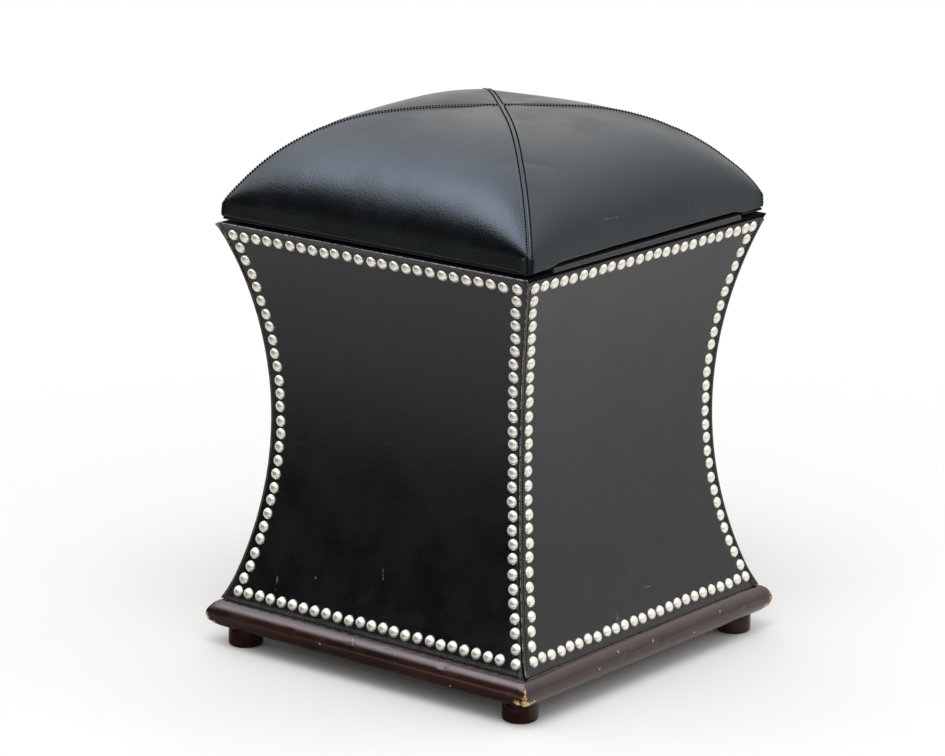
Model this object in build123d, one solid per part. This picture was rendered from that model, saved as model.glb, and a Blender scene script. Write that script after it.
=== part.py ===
from build123d import *
import math
import os

# A square storage stool: a waisted leather-covered box edged with domed nails, standing on a bullnose
# base with four puck feet, and closed by a domed leather lid on a continuous hinge.
# Millimetres, +Z up, origin on the floor below the middle. The front is -Y and the hinge is on +Y.

# Base and feet
BASE_WIDTH = 406.0
BASE_THICKNESS = 28.0
BASE_RAIL_WIDTH = 60.0
FOOT_DIAMETER = 35.0
FOOT_HEIGHT = 19.0
FOOT_INSET = 28.5  # from the base's edge to the foot's centre
TENON_WIDTH = 12.0
TENON_LENGTH = 16.0
TENON_CLEARANCE = 0.1

# Waisted box
BODY_END_WIDTH = 381.0
BODY_WAIST_WIDTH = 311.0
BODY_HEIGHT = 382.0
PANEL_THICKNESS = 12.0
LEATHER_THICKNESS = 1.5
LINING_THICKNESS = 1.0
FLOOR_THICKNESS = 9.0
RIM_RAIL_WIDTH = 28.0
RIM_RAIL_HEIGHT = 18.0
RIM_RISE = 3.0  # from the leather on the panels' top edge to the rim's top
RIM_LIP_INSET = 1.5  # from the leather's face to the lip that covers its fold
GLUE_GAP = 0.1

# Domed nails
NAIL_DIAMETER = 11.0
NAIL_RISE = 3.0
NAIL_SLOPE = 38.0  # degrees that the head's side leans in
NAIL_SIDES = 6
NAIL_SEAT = 0.06  # keeps a flat head clear of the hollow leather
NAILS_ACROSS = 25
NAILS_UP = 28
NAIL_TOP_MARGIN = 9.0
NAIL_BOTTOM_MARGIN = 12.0
NAIL_SIDE_MARGIN = 12.5

# Lid
LID_INSET = 2.0  # from the box's leather face to the lid's edge
LID_WIDTH = BODY_END_WIDTH - 2 * LID_INSET
LID_BOARD_THICKNESS = 12.0
LID_GAP = 3.0  # between the rim and the lid's underside, for the hinge's two leaves
LID_CROWN = 93.5  # height of the dome over the board
CROWN_SQUARENESS = 3.2
CROWN_FULLNESS = 0.475
CROWN_STEP = 15.0  # degrees between the dome's outlines, counted as on a quarter circle
CROWN_CAP = 0.99  # share of the height at which the dome is closed flat
CROWN_FLATS = 6  # flats along each side of an outline
PADDING_CLEARANCE = 0.3
SEAM_GAP = 0.1
LEATHER_RETURN = 15.0
DUST_COVER_THICKNESS = 2.0
DUST_COVER_INSET = 0.8
BUMPER_DIAMETER = 14.0
BUMPER_GAP = 0.2

# Continuous hinge
HINGE_LENGTH = 300.0
HINGE_SETBACK = 1.5  # from the lid's face to the pin
BARREL_DIAMETER = 6.0
PIN_DIAMETER = 3.0
PIN_CLEARANCE = 0.05
LEAF_WIDTH = 24.0
LEAF_THICKNESS = 1.4
KNUCKLES = 7
KNUCKLE_GAP = 0.4
HINGE_RELIEF = 2.5  # height of the lid leather's cut above the hinge
RELIEF_MARGIN = 4.0
SCREWS_PER_LEAF = 5
SCREW_HEAD_DIAMETER = 7.0
SCREW_HEAD_HEIGHT = 0.8  # sunk in the leaf
SCREW_DIAMETER = 3.0
SCREW_LENGTH = 12.0
SCREW_SIDES = 8
SCREW_EDGE = 7.0  # from the leaf's free edge to the screws
SCREW_END = 20.0  # from the hinge's end to the first screw
SCREW_CLEARANCE = 0.2

# Levels and half widths that follow from the sizes above
base_half = BASE_WIDTH / 2
base_top = FOOT_HEIGHT + BASE_THICKNESS
body_top = base_top + BODY_HEIGHT
waist_level = base_top + BODY_HEIGHT / 2
panel_top = body_top - LEATHER_THICKNESS
panel_depth = LEATHER_THICKNESS + PANEL_THICKNESS  # from the leather's face to the panel's inside
floor_top = base_top + FLOOR_THICKNESS
floor_lining_top = floor_top + LINING_THICKNESS
rim_top = body_top + RIM_RISE
rim_bottom = rim_top - RIM_RAIL_HEIGHT
lid_half = LID_WIDTH / 2
lid_underside = rim_top + LID_GAP
lid_bottom = lid_underside + DUST_COVER_THICKNESS
board_bottom = lid_bottom + LEATHER_THICKNESS
board_top = board_bottom + LID_BOARD_THICKNESS
lid_top = board_top + LID_CROWN
hinge_y = lid_half - HINGE_SETBACK
hinge_z = rim_top + LID_GAP / 2
barrel_reach = BARREL_DIAMETER / 2 + KNUCKLE_GAP  # from the pin to what has to clear a knuckle
screw_line = hinge_y - LEAF_WIDTH + SCREW_EDGE

# Each side is hollowed to one arc, whose centre lies outside the stool at waist height
waist_hollow = (BODY_END_WIDTH - BODY_WAIST_WIDTH) / 2
side_radius = ((BODY_HEIGHT / 2) ** 2 + waist_hollow**2) / (2 * waist_hollow)
arc_centre = BODY_WAIST_WIDTH / 2 + side_radius
edge_angle = math.asin(BODY_HEIGHT / 2 / side_radius)

BOTTOM = (Align.CENTER, Align.CENTER, Align.MIN)
SIDES = {"right": 0, "back": 90, "left": 180, "front": 270}


def side_x(depth, level):
    """Half width, at a level, of the surface that lies a depth inside the leather's face."""
    return arc_centre - math.sqrt((side_radius + depth) ** 2 - (level - waist_level) ** 2)


def side_point(depth, level):
    return (side_x(depth, level), level)


def side_arc(depth, low, high):
    middle = (low + high) / 2
    return ThreePointArc(side_point(depth, low), side_point(depth, middle), side_point(depth, high))


def side_layer(outer, inner, low, high):
    """Upright section of a layer between two depths, as a face."""
    return make_face(
        [
            side_arc(outer, low, high),
            Line(side_point(outer, high), side_point(inner, high)),
            side_arc(inner, low, high),
            Line(side_point(inner, low), side_point(outer, low)),
        ]
    )


def quarter(gap=0.0):
    """Wedge between the two diagonals that holds the right-hand quarter of the stool."""
    reach = BASE_WIDTH
    wedge = make_face(Polyline((gap, 0), (gap + reach, reach), (gap + reach, -reach), close=True))
    return extrude(wedge, lid_top + reach)


def mitred(section):
    """Piece with this upright section along the right-hand side, mitred on the diagonals."""
    return extrude(Plane.XZ * section, BASE_WIDTH, both=True) & quarter()


def turned(piece, side):
    return Rot(0, 0, SIDES[side]) * piece


def base_rail():
    """Bullnose rail with half of a mortise at each end."""
    nose = BASE_THICKNESS / 2
    inside = base_half - BASE_RAIL_WIDTH
    section = make_face(
        [
            Line((inside, FOOT_HEIGHT), (base_half - nose, FOOT_HEIGHT)),
            ThreePointArc(
                (base_half - nose, FOOT_HEIGHT), (base_half, FOOT_HEIGHT + nose), (base_half - nose, base_top)
            ),
            Line((base_half - nose, base_top), (inside, base_top)),
            Line((inside, base_top), (inside, FOOT_HEIGHT)),
        ]
    )
    hole_width = TENON_WIDTH + 2 * TENON_CLEARANCE
    hole = Box(hole_width, hole_width, TENON_LENGTH + TENON_CLEARANCE, align=BOTTOM)
    rail = mitred(section)
    for end in (-1, 1):
        rail -= Pos(base_half - FOOT_INSET, end * (base_half - FOOT_INSET), FOOT_HEIGHT) * hole
    return rail


def foot():
    """Turned puck with a square tenon that pins the corner of the base."""
    puck = Cylinder(FOOT_DIAMETER / 2, FOOT_HEIGHT, align=BOTTOM)
    return puck + Pos(0, 0, FOOT_HEIGHT) * Box(TENON_WIDTH, TENON_WIDTH, TENON_LENGTH, align=BOTTOM)


def leather_panel():
    """Leather skin of one side, turned over the panel's top edge."""
    skin = side_layer(0, LEATHER_THICKNESS, base_top, body_top)
    fold = side_layer(0, panel_depth, panel_top, body_top)
    return mitred(skin + fold)


def rim_rail():
    """Rail round the mouth: its back follows the hollow of the panel, and its lip covers the leather's fold."""
    back = panel_depth + GLUE_GAP
    inside = side_x(panel_depth, body_top) - RIM_RAIL_WIDTH
    lip_bottom = body_top + GLUE_GAP
    lip_face = BODY_END_WIDTH / 2 - RIM_LIP_INSET
    rest = Polyline(
        side_point(back, lip_bottom),
        (lip_face, lip_bottom),
        (lip_face, rim_top),
        (inside, rim_top),
        (inside, rim_bottom),
        side_point(back, rim_bottom),
    )
    return mitred(make_face([side_arc(back, rim_bottom, lip_bottom), rest]))


def lining():
    face = panel_depth + GLUE_GAP
    return mitred(side_layer(face, face + LINING_THICKNESS, floor_lining_top, rim_bottom))


def floor_sheet(low, thickness):
    """Square sheet that just fits between the panels at its upper face."""
    width = 2 * side_x(panel_depth + GLUE_GAP, low + thickness)
    return Pos(0, 0, low) * Box(width, width, thickness, align=BOTTOM)


def nail_place(angle, offset):
    """Plane on the right-hand leather, at an angle above the waist and an offset along the side."""
    outward = Vector(math.cos(angle), 0, -math.sin(angle))
    foot_x = arc_centre - side_radius * math.cos(angle)
    point = Vector(foot_x, offset, waist_level + side_radius * math.sin(angle))
    return Plane(point + outward * NAIL_SEAT, x_dir=(0, 1, 0), z_dir=outward)


def nail_span(angle):
    return arc_centre - side_radius * math.cos(angle) - NAIL_SIDE_MARGIN


def side_nails():
    """Nails along the four edges of the right-hand side, with shared ones at the corners."""
    head = extrude(RegularPolygon(NAIL_DIAMETER / 2, NAIL_SIDES), NAIL_RISE, taper=NAIL_SLOPE)
    top = edge_angle - NAIL_TOP_MARGIN / side_radius
    bottom = NAIL_BOTTOM_MARGIN / side_radius - edge_angle
    nails = []
    for angle in (bottom, top):
        step = 2 * nail_span(angle) / (NAILS_ACROSS - 1)
        for count in range(NAILS_ACROSS):
            nails.append(nail_place(angle, count * step - nail_span(angle)) * head)
    for count in range(1, NAILS_UP - 1):
        angle = bottom + (top - bottom) * count / (NAILS_UP - 1)
        for end in (-1, 1):
            nails.append(nail_place(angle, end * nail_span(angle)) * head)
    return nails


def crown_outline(half, height, share):
    """Corners of the dome's outline at a share of its height: sides bow out between corners that draw in."""
    rest = 1 - share ** (1 / CROWN_FULLNESS)
    points = []
    for turn in SIDES.values():
        for count in range(CROWN_FLATS):
            slope = 2 * count / CROWN_FLATS - 1  # from one corner to the next, as y over x
            fall = abs(slope) ** CROWN_SQUARENESS
            power = 2 * rest / (1 + fall + math.sqrt((1 + fall) ** 2 - 4 * fall * rest))
            reach = half * power ** (1 / CROWN_SQUARENESS)
            points.append(Vector(reach, slope * reach, board_top + share * height).rotate(Axis.Z, turn))
    return points


def flat(*corners):
    return Face(Wire.make_polygon(corners))


def dome(half, height):
    """Dome on the lid's board, closed with flats between outlines that draw in as they rise."""
    steps = int(90 / CROWN_STEP)
    shares = [math.sin(math.radians(step * CROWN_STEP)) for step in range(steps)] + [CROWN_CAP]
    outlines = [crown_outline(half, height, share) for share in shares]
    faces = [flat(*outlines[0]), flat(*outlines[-1])]
    for low, high in zip(outlines, outlines[1:]):
        for count in range(len(low)):
            a, b, c, d = low[count - 1], low[count], high[count], high[count - 1]
            if (count - 1) % CROWN_FLATS < CROWN_FLATS / 2:  # folds mirror each other across a side's middle
                faces += [flat(a, b, c), flat(a, c, d)]
            else:
                faces += [flat(b, c, d), flat(b, d, a)]
    return Solid(Shell(faces))


def lid_form(half, bottom, height):
    """Upright edge from a level to the board's top, with the dome over it."""
    edge = Pos(0, 0, bottom) * Box(2 * half, 2 * half, board_top - bottom, align=BOTTOM)
    return edge + dome(half, height)


def lid_gore():
    """Right-hand leather gore: its share of the dome, the edge and the part turned under the board."""
    inner_half = lid_half - LEATHER_THICKNESS
    opening = 2 * (lid_half - LEATHER_RETURN)
    cover = lid_form(lid_half, lid_bottom, LID_CROWN)
    cover -= lid_form(inner_half, board_bottom, LID_CROWN - LEATHER_THICKNESS)
    cover -= Pos(0, 0, lid_bottom) * Box(opening, opening, LEATHER_THICKNESS, align=BOTTOM)
    return cover & quarter(SEAM_GAP)


def hinge_room(inner, low, high):
    """Space along the hinge that is cut from what has to clear the barrel, from an inner line outwards."""
    length = HINGE_LENGTH + 2 * RELIEF_MARGIN
    outwards = (Align.CENTER, Align.MIN, Align.MIN)
    return Pos(0, inner, low) * Box(length, lid_half, high - low, align=outwards)


def lid_padding():
    half = lid_half - LEATHER_THICKNESS - PADDING_CLEARANCE
    return dome(half, LID_CROWN - LEATHER_THICKNESS - PADDING_CLEARANCE)


def lid_board():
    width = 2 * (lid_half - LEATHER_THICKNESS - PADDING_CLEARANCE)
    return Pos(0, 0, board_bottom) * Box(width, width, LID_BOARD_THICKNESS, align=BOTTOM)


def dust_cover():
    """Thin board under the lid, notched round the hinge's barrel."""
    width = 2 * (lid_half - DUST_COVER_INSET)
    cover = Pos(0, 0, lid_underside) * Box(width, width, DUST_COVER_THICKNESS, align=BOTTOM)
    return drilled(cover - hinge_room(hinge_y - barrel_reach, lid_underside, lid_bottom), 1)


def bumpers():
    """Two pads on the front corners of the rim that take the lid's weight."""
    pad = Cylinder(BUMPER_DIAMETER / 2, LID_GAP - BUMPER_GAP, align=BOTTOM)
    place = side_x(panel_depth, body_top) - RIM_RAIL_WIDTH / 2
    return [Pos(end * place, -place, rim_top) * pad for end in (-1, 1)]


def knuckle_centres(first):
    """Places along the pin of every second knuckle."""
    pitch = HINGE_LENGTH / KNUCKLES
    return [(count + 0.5) * pitch - HINGE_LENGTH / 2 for count in range(first, KNUCKLES, 2)]


def screw_places():
    reach = HINGE_LENGTH / 2 - SCREW_END
    step = 2 * reach / (SCREWS_PER_LEAF - 1)
    return [count * step - reach for count in range(SCREWS_PER_LEAF)]


def leaf_face(facing):
    """Level of the face of a leaf that looks at the other: facing is 1 on the lid and -1 on the box."""
    return hinge_z + facing * (LID_GAP / 2 - LEAF_THICKNESS)


def screw_seats(facing):
    """Places on a leaf where the screws' sunk heads rest."""
    level = leaf_face(facing) + facing * SCREW_HEAD_HEIGHT
    return [(x, screw_line, level) for x in screw_places()]


def screw_section(diameter, clearance=0.0):
    return RegularPolygon(diameter / 2 + clearance, SCREW_SIDES)


def drilled(piece, facing):
    """Piece with the holes that a leaf's screws go through or into."""
    section = screw_section(SCREW_DIAMETER, SCREW_CLEARANCE)
    hole = extrude(section, SCREW_LENGTH + SCREW_CLEARANCE, both=True)
    for seat in screw_seats(facing):
        piece -= Pos(*seat) * hole
    return piece


def hinge_leaf(first, facing):
    """Flat leaf with its own knuckles, notched clear of the other leaf's, with holes for sunk screws."""
    barrel = BARREL_DIAMETER / 2
    plate_width = LEAF_WIDTH - barrel_reach
    free_edge = hinge_y - LEAF_WIDTH
    level = leaf_face(facing) + facing * LEAF_THICKNESS / 2
    inwards = (Align.CENTER, Align.MIN, Align.CENTER)
    leaf = Pos(0, free_edge, level) * Box(HINGE_LENGTH, plate_width, LEAF_THICKNESS, align=inwards)
    knuckle_length = HINGE_LENGTH / KNUCKLES - KNUCKLE_GAP
    tab = Box(knuckle_length, LEAF_WIDTH, LEAF_THICKNESS, align=inwards)
    roll = Rot(0, 90, 0) * Cylinder(barrel, knuckle_length)
    for x in knuckle_centres(first):
        leaf += Pos(x, free_edge, level) * tab
        leaf += Pos(x, hinge_y, hinge_z) * roll
    bore = Rot(0, 90, 0) * Cylinder(PIN_DIAMETER / 2 + PIN_CLEARANCE, HINGE_LENGTH)
    leaf -= Pos(0, hinge_y, hinge_z) * bore
    head_room = extrude(screw_section(SCREW_HEAD_DIAMETER, SCREW_CLEARANCE), -facing * SCREW_HEAD_HEIGHT)
    for seat in screw_seats(facing):
        leaf -= Pos(*seat) * head_room
    return drilled(leaf, facing)


def hinge_pin():
    return Pos(0, hinge_y, hinge_z) * (Rot(0, 90, 0) * Cylinder(PIN_DIAMETER / 2, HINGE_LENGTH))


def hinge_screws(facing):
    """Screws with their heads sunk in a leaf, driven away from the other leaf."""
    head = extrude(screw_section(SCREW_HEAD_DIAMETER), SCREW_HEAD_HEIGHT)
    screw = head + extrude(screw_section(SCREW_DIAMETER), -SCREW_LENGTH)
    seats = screw_seats(facing)
    return [Plane(seat, x_dir=(1, 0, 0), z_dir=(0, 0, -facing)) * screw for seat in seats]


def save(name, shape):
    export_step(shape, f"parts/{name}.step")


def save_group(name, pieces):
    save(name, Compound([solid for piece in pieces for solid in piece.solids()]))


def main():
    os.makedirs("parts", exist_ok=True)

    ring = {
        "base_rail": base_rail(),
        "side_panel": mitred(side_layer(LEATHER_THICKNESS, panel_depth, base_top, panel_top)),
        "leather_panel": leather_panel(),
        "rim_rail": rim_rail(),
        "lining": lining(),
    }
    for name, piece in ring.items():
        for side in SIDES:
            shape = turned(piece, side)
            if name == "rim_rail" and side == "back":
                shape -= hinge_room(hinge_y - barrel_reach, hinge_z - barrel_reach, rim_top)
                shape = drilled(shape, -1)
            save(f"{name}_{side}", shape)

    nails = side_nails()
    gore = lid_gore()
    for side in SIDES:
        save_group(f"nails_{side}", [turned(nail, side) for nail in nails])
        cover = turned(gore, side)
        if side == "back":
            cover -= hinge_room(lid_half - LEATHER_THICKNESS, lid_bottom, lid_bottom + HINGE_RELIEF)
        save(f"lid_cover_{side}", cover)

    foot_place = base_half - FOOT_INSET
    for depth, y in (("front", -foot_place), ("back", foot_place)):
        for hand, x in (("left", -foot_place), ("right", foot_place)):
            save(f"foot_{depth}_{hand}", Pos(x, y, 0) * foot())

    save("floor_panel", floor_sheet(base_top, FLOOR_THICKNESS))
    save("floor_lining", floor_sheet(floor_top, LINING_THICKNESS))
    save("lid_board", drilled(lid_board(), 1))
    save("lid_padding", lid_padding())
    save("lid_dust_cover", dust_cover())
    save_group("lid_bumpers", bumpers())
    save("hinge_box_leaf", hinge_leaf(0, -1))
    save("hinge_lid_leaf", hinge_leaf(1, 1))
    save("hinge_pin", hinge_pin())
    save_group("hinge_box_screws", hinge_screws(-1))
    save_group("hinge_lid_screws", hinge_screws(1))


main()
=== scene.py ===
import math

import bmesh
import bpy
import numpy as np
from bpy.props import FloatProperty, FloatVectorProperty, IntProperty, PointerProperty
from mathutils import Matrix, Vector, noise


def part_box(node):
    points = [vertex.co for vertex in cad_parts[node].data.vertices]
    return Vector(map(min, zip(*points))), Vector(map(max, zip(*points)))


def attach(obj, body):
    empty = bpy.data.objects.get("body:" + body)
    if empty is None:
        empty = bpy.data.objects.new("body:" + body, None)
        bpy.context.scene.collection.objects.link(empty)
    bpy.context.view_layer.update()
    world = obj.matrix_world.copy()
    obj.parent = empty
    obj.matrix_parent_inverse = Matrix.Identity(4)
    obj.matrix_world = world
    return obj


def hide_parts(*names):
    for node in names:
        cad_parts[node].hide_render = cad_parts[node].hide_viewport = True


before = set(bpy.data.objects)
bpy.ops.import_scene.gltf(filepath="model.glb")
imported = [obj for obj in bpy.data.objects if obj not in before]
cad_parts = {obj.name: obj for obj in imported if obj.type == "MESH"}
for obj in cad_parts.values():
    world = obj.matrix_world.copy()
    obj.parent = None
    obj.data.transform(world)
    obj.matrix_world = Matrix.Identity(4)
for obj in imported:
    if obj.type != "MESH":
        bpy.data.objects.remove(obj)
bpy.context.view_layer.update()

bl_info = {
    "name": "Storage stool",
    "version": (1, 0, 0),
    "blender": (4, 5, 0),
    "location": "View3D > Sidebar > Stool",
    "description": "Leather, nails, stitching, wood and stage for a waisted storage stool",
    "category": "Object",
}

# Sizes that the frame gives, in metres
SIDES = ("right", "back", "left", "front")
MM = 0.001
gore_low, gore_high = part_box("lid_cover_right")
board_low, board_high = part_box("lid_board")
skin_low, skin_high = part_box("leather_panel_right")
rail_low, rail_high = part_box("base_rail_right")
lining_low, lining_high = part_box("lining_right")
floor_low, floor_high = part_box("floor_lining")
hinge_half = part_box("hinge_pin")[1].x
foot_low, foot_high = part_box("foot_back_right")

# Shape of the lid's dome, the same rule as the solids follow
DOME_SQUARENESS = 3.2
DOME_FULLNESS = 0.475
DOME_CAP = 0.99
LID_CROWN = (gore_high.z - board_high.z) / DOME_CAP
LEATHER = board_low.z - gore_low.z


def metres(name, description, default):
    """Setting in metres."""
    return FloatProperty(name=name, description=description, unit="LENGTH", default=default)


def degrees(name, description, default):
    """Setting that is an angle, with its default in degrees."""
    return FloatProperty(name=name, description=description, subtype="ANGLE", default=math.radians(default))


def watts(name, description, default):
    """Setting in watts."""
    return FloatProperty(name=name, description=description, unit="POWER", default=default)


def rgb(name, description, default):
    """Setting that is an opaque colour."""
    return FloatVectorProperty(
        name=name, description=description, subtype="COLOR", size=4,
        default=(*default, 1.0), min=0.0, max=1.0,
    )


class StoolLidSettings(bpy.types.PropertyGroup):
    """Sizes and colours of the padded lid."""

    colour: rgb("Lid leather", "Colour of the lid's leather", (0.0020, 0.0024, 0.0032))
    crown: metres("Crown", "Height of the dome over its board", LID_CROWN)
    swell: metres("Swell", "How far a gore is let down before air fills it", 5.0 * MM)
    reach: metres("Reach", "Most that the air may move a point of a gore", 8.0 * MM)
    pressure: FloatProperty(name="Pressure", description="Air pressure inside the cover", default=4.0)
    frames: IntProperty(name="Frames", description="Frames of cloth that are run", default=20, min=2)
    seam_half: metres("Seam half width", "From a seam's middle to the end of its turnings", 3.5 * MM)
    stitch_row: metres("Stitch row", "From a seam's middle to each row of topstitching", 2.3 * MM)
    stitch_pitch: metres("Stitch pitch", "From one stitch to the next", 3.1 * MM)
    stitch_length: metres("Stitch length", "Length of thread that shows", 2.5 * MM)
    thread: metres("Thread", "Thread diameter", 1.4 * MM)
    hinge_lift: metres("Hinge lift", "How far the lower edge rises over the hinge", 3.0 * MM)


class StoolSideSettings(bpy.types.PropertyGroup):
    """Sizes and colours of the leather sides and their nails."""

    colour: rgb("Side leather", "Colour of the sides' leather", (0.0028, 0.0028, 0.0030))
    hem_width: metres("Hem width", "Width of the turned edge at an end of a side", 6.0 * MM)
    hem_rise: metres("Hem rise", "How far the turned edge stands proud", 1.0 * MM)
    hem_flare: metres("Hem flare", "How far the turned edge spreads towards its top and foot", 2.2 * MM)
    groove: metres("Groove", "Depth of the leather beside a neighbour's turned edge", 1.2 * MM)
    border: metres("Border", "Height of the turned edges at the top and the bottom", 3.6 * MM)
    fold_depth: metres("Fold depth", "How far the leather runs in over the top of the panel", 13.5 * MM)
    dimple: metres("Dimple", "How far a nail presses the leather in", 0.45 * MM)
    nail_radius: metres("Nail radius", "Radius of a nail's head", 5.9 * MM)
    nail_rise: metres("Nail rise", "Height of a nail's head", 3.6 * MM)
    nail_wander: metres("Nail wander", "How far a nail strays from its place", 0.75 * MM)
    nail_colour: rgb("Nails", "Colour of the nails' plating", (0.93, 0.90, 0.83))


class StoolWoodSettings(bpy.types.PropertyGroup):
    """Colours of the base and feet."""

    stain: rgb("Stain", "Main colour of the stained wood", (0.032, 0.0108, 0.0078))
    stain_dark: rgb("Dark stain", "Colour of the wood's darker streaks", (0.011, 0.0050, 0.0040))
    bare: rgb("Bare wood", "Colour where the stain is knocked off", (0.95, 0.52, 0.18))


class StoolStageSettings(bpy.types.PropertyGroup):
    """Camera, floor and lights."""

    azimuth: degrees("Azimuth", "Camera's direction from +X towards +Y", 38.51)
    elevation: degrees("Elevation", "Camera's height over the horizon", 14.75)
    distance: metres("Distance", "Camera's distance from its target", 3.902)
    target_height: metres("Target height", "Height that the camera looks at", 0.269)
    roll: degrees("Roll", "Camera's turn about its own axis", 0.45)
    lens: FloatProperty(name="Lens", description="Focal length in millimetres", default=150.1)
    shift: FloatProperty(name="Shift", description="Sideways shift of the picture", default=-0.022)
    floor_colour: rgb("Floor", "Colour of the floor", (0.96, 0.96, 0.955))
    floor_radius: metres("Floor radius", "Radius at which the floor has faded out", 1.5)
    key_power: watts("Key light", "Power of the softbox", 26.0)
    fill_power: watts("Fill light", "Power of the side panel", 6.0)


# Meshes

SHARP_ANGLE = math.radians(38)
SAME_PLACE = 0.001 * MM
TINY = 1e-9
NO_AREA = 1e-14


def smooth_step(value, low, high):
    """0 below low and 1 above high, with an easy curve between; high may be the smaller."""
    share = np.clip((np.asarray(value) - low) / (high - low), 0, 1)
    return share * share * (3 - 2 * share)


def bell(value, middle, width):
    """1 at the middle, falling away smoothly over the width on both sides."""
    return np.exp(-(((np.asarray(value) - middle) / width) ** 2))


def noise_field(points, scale, offset=0.0):
    """Smooth noise from about -1 to 1 at each point."""
    shape = points.shape[:-1]
    shift = Vector((offset, offset, offset))
    values = [noise.noise(Vector(point) * scale + shift) for point in points.reshape(-1, 3)]
    return np.array(values).reshape(shape)


def turned(points, quarter_turns):
    """Points turned about the stool's axis by quarter turns."""
    x, y, z = np.moveaxis(points, -1, 0)
    for _ in range(quarter_turns):
        x, y = -y, x
    return np.stack([x, y, z], -1)


def link(name, data):
    """Object with the given data, put in the scene."""
    piece = bpy.data.objects.new(name, data)
    bpy.context.scene.collection.objects.link(piece)
    return piece


def closed_mesh(name, points, faces):
    """Smooth-shaded closed mesh whose faces point outwards."""
    mesh = bpy.data.meshes.new(name)
    mesh.from_pydata(points.reshape(-1, 3).tolist(), [], faces)
    form = bmesh.new()
    form.from_mesh(mesh)
    bmesh.ops.recalc_face_normals(form, faces=form.faces[:])
    form.to_mesh(mesh)
    form.free()
    mesh.shade_smooth()
    return mesh


def add_piece(name, points, faces, material, attributes=None, uv=None):
    """Object with a closed mesh, its point attributes and its map in metres."""
    mesh = closed_mesh(name, points, faces)
    for key, values in (attributes or {}).items():
        layer = mesh.attributes.new(key, "FLOAT", "POINT")
        layer.data.foreach_set("value", np.asarray(values, np.float32).ravel())
    if uv is not None:
        corner_points = np.empty(len(mesh.loops), np.int32)
        mesh.loops.foreach_get("vertex_index", corner_points)
        layer = mesh.uv_layers.new(name="metres")
        layer.data.foreach_set("uv", uv.reshape(-1, 2)[corner_points].astype(np.float32).ravel())
    mesh.set_sharp_from_angle(angle=SHARP_ANGLE)
    mesh.materials.append(material)
    return link(name, mesh)


def seat(piece, body, slot, *replaced):
    """Makes a piece ride on a body and stand for the CAD nodes that it hides."""
    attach(piece, body)
    if replaced:
        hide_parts(*replaced)


def grid_normals(points):
    """Unit normals of a grid of points, straight up where the grid has shrunk to one point."""
    normals = np.cross(np.gradient(points, axis=0), np.gradient(points, axis=1))
    length = np.linalg.norm(normals, axis=-1, keepdims=True)
    return np.where(length > NO_AREA, normals / np.maximum(length, NO_AREA), (0.0, 0.0, 1.0))


def ring_faces(rows, columns):
    """Faces of rows of columns that close in a ring, with vertex 0 in the middle of the first row."""
    index = 1 + np.arange(rows * columns).reshape(rows, columns)
    after = np.roll(index, -1, axis=1)
    quads = np.stack([index[:-1], index[1:], after[1:], after[:-1]], -1).reshape(-1, 4)
    fan = np.stack([np.zeros(columns, int), index[0], after[0]], -1)
    last = 1 + rows * columns
    end = np.stack([np.full(columns, last), after[-1], index[-1]], -1)
    return quads.tolist() + fan.tolist() + end.tolist()


def ring_points(gores, last):
    """Vertices for ring_faces from four gores that share their seams, with the closing middle point."""
    rows, columns = gores.shape[1] - 1, gores.shape[2] - 1
    ring = gores[:, 1:, :-1].transpose(1, 0, 2, 3).reshape(-1, 3)
    return np.concatenate([gores[0, 0, :1], ring, [last]]), rows, 4 * columns


def loop_faces(columns, rows):
    """Faces of a closed section of rows points, run through columns places and capped at both ends."""
    index = np.arange(columns * rows).reshape(columns, rows)
    after = np.roll(index, -1, axis=1)
    quads = np.stack([index[:-1], after[:-1], after[1:], index[1:]], -1).reshape(-1, 4)
    return quads.tolist() + [index[0].tolist(), index[-1][::-1].tolist()]


def mitred_run(section, columns):
    """Points of a section (distance from the axis, level) run along the right side between its mitres."""
    out, level = section.T
    return np.stack(np.broadcast_arrays(out, np.outer(columns, out), level), -1)


def end_columns(count, crowding):
    """Places from -1 to 1, crowded towards both ends, more so the further crowding is over 1."""
    half = np.linspace(0, 1, count // 2 + 1) ** crowding
    return np.concatenate([half - 1, 1 - half[-2::-1]])


def lathe(name, profile, segments):
    """Closed mesh turned from a profile of (radius, height), whose ends lie on the axis."""
    angles = np.arange(segments) * 2 * math.pi / segments
    rings = profile[1:-1]
    ring = np.stack([np.cos(angles), np.sin(angles), np.ones(segments)], -1)
    points = [ring * (radius, radius, height) for radius, height in rings]
    first, last = (np.array([[0, 0, profile[end][1]]]) for end in (0, -1))
    return closed_mesh(name, np.concatenate([first, *points, last]), ring_faces(len(rings), segments))


def islands(node):
    """Corner points of each separate solid in a CAD node."""
    form = bmesh.new()
    form.from_mesh(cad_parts[node].data)
    bmesh.ops.remove_doubles(form, verts=form.verts[:], dist=SAME_PLACE)
    groups, seen = [], set()
    for start in form.verts:
        if start in seen:
            continue
        seen.add(start)
        group, waiting = [], [start]
        while waiting:
            vertex = waiting.pop()
            group.append(vertex.co[:])
            beside = {edge.other_vert(vertex) for edge in vertex.link_edges} - seen
            seen |= beside
            waiting += sorted(beside, key=lambda other: other.index)
        groups.append(np.array(group))
    form.free()
    return groups


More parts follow.
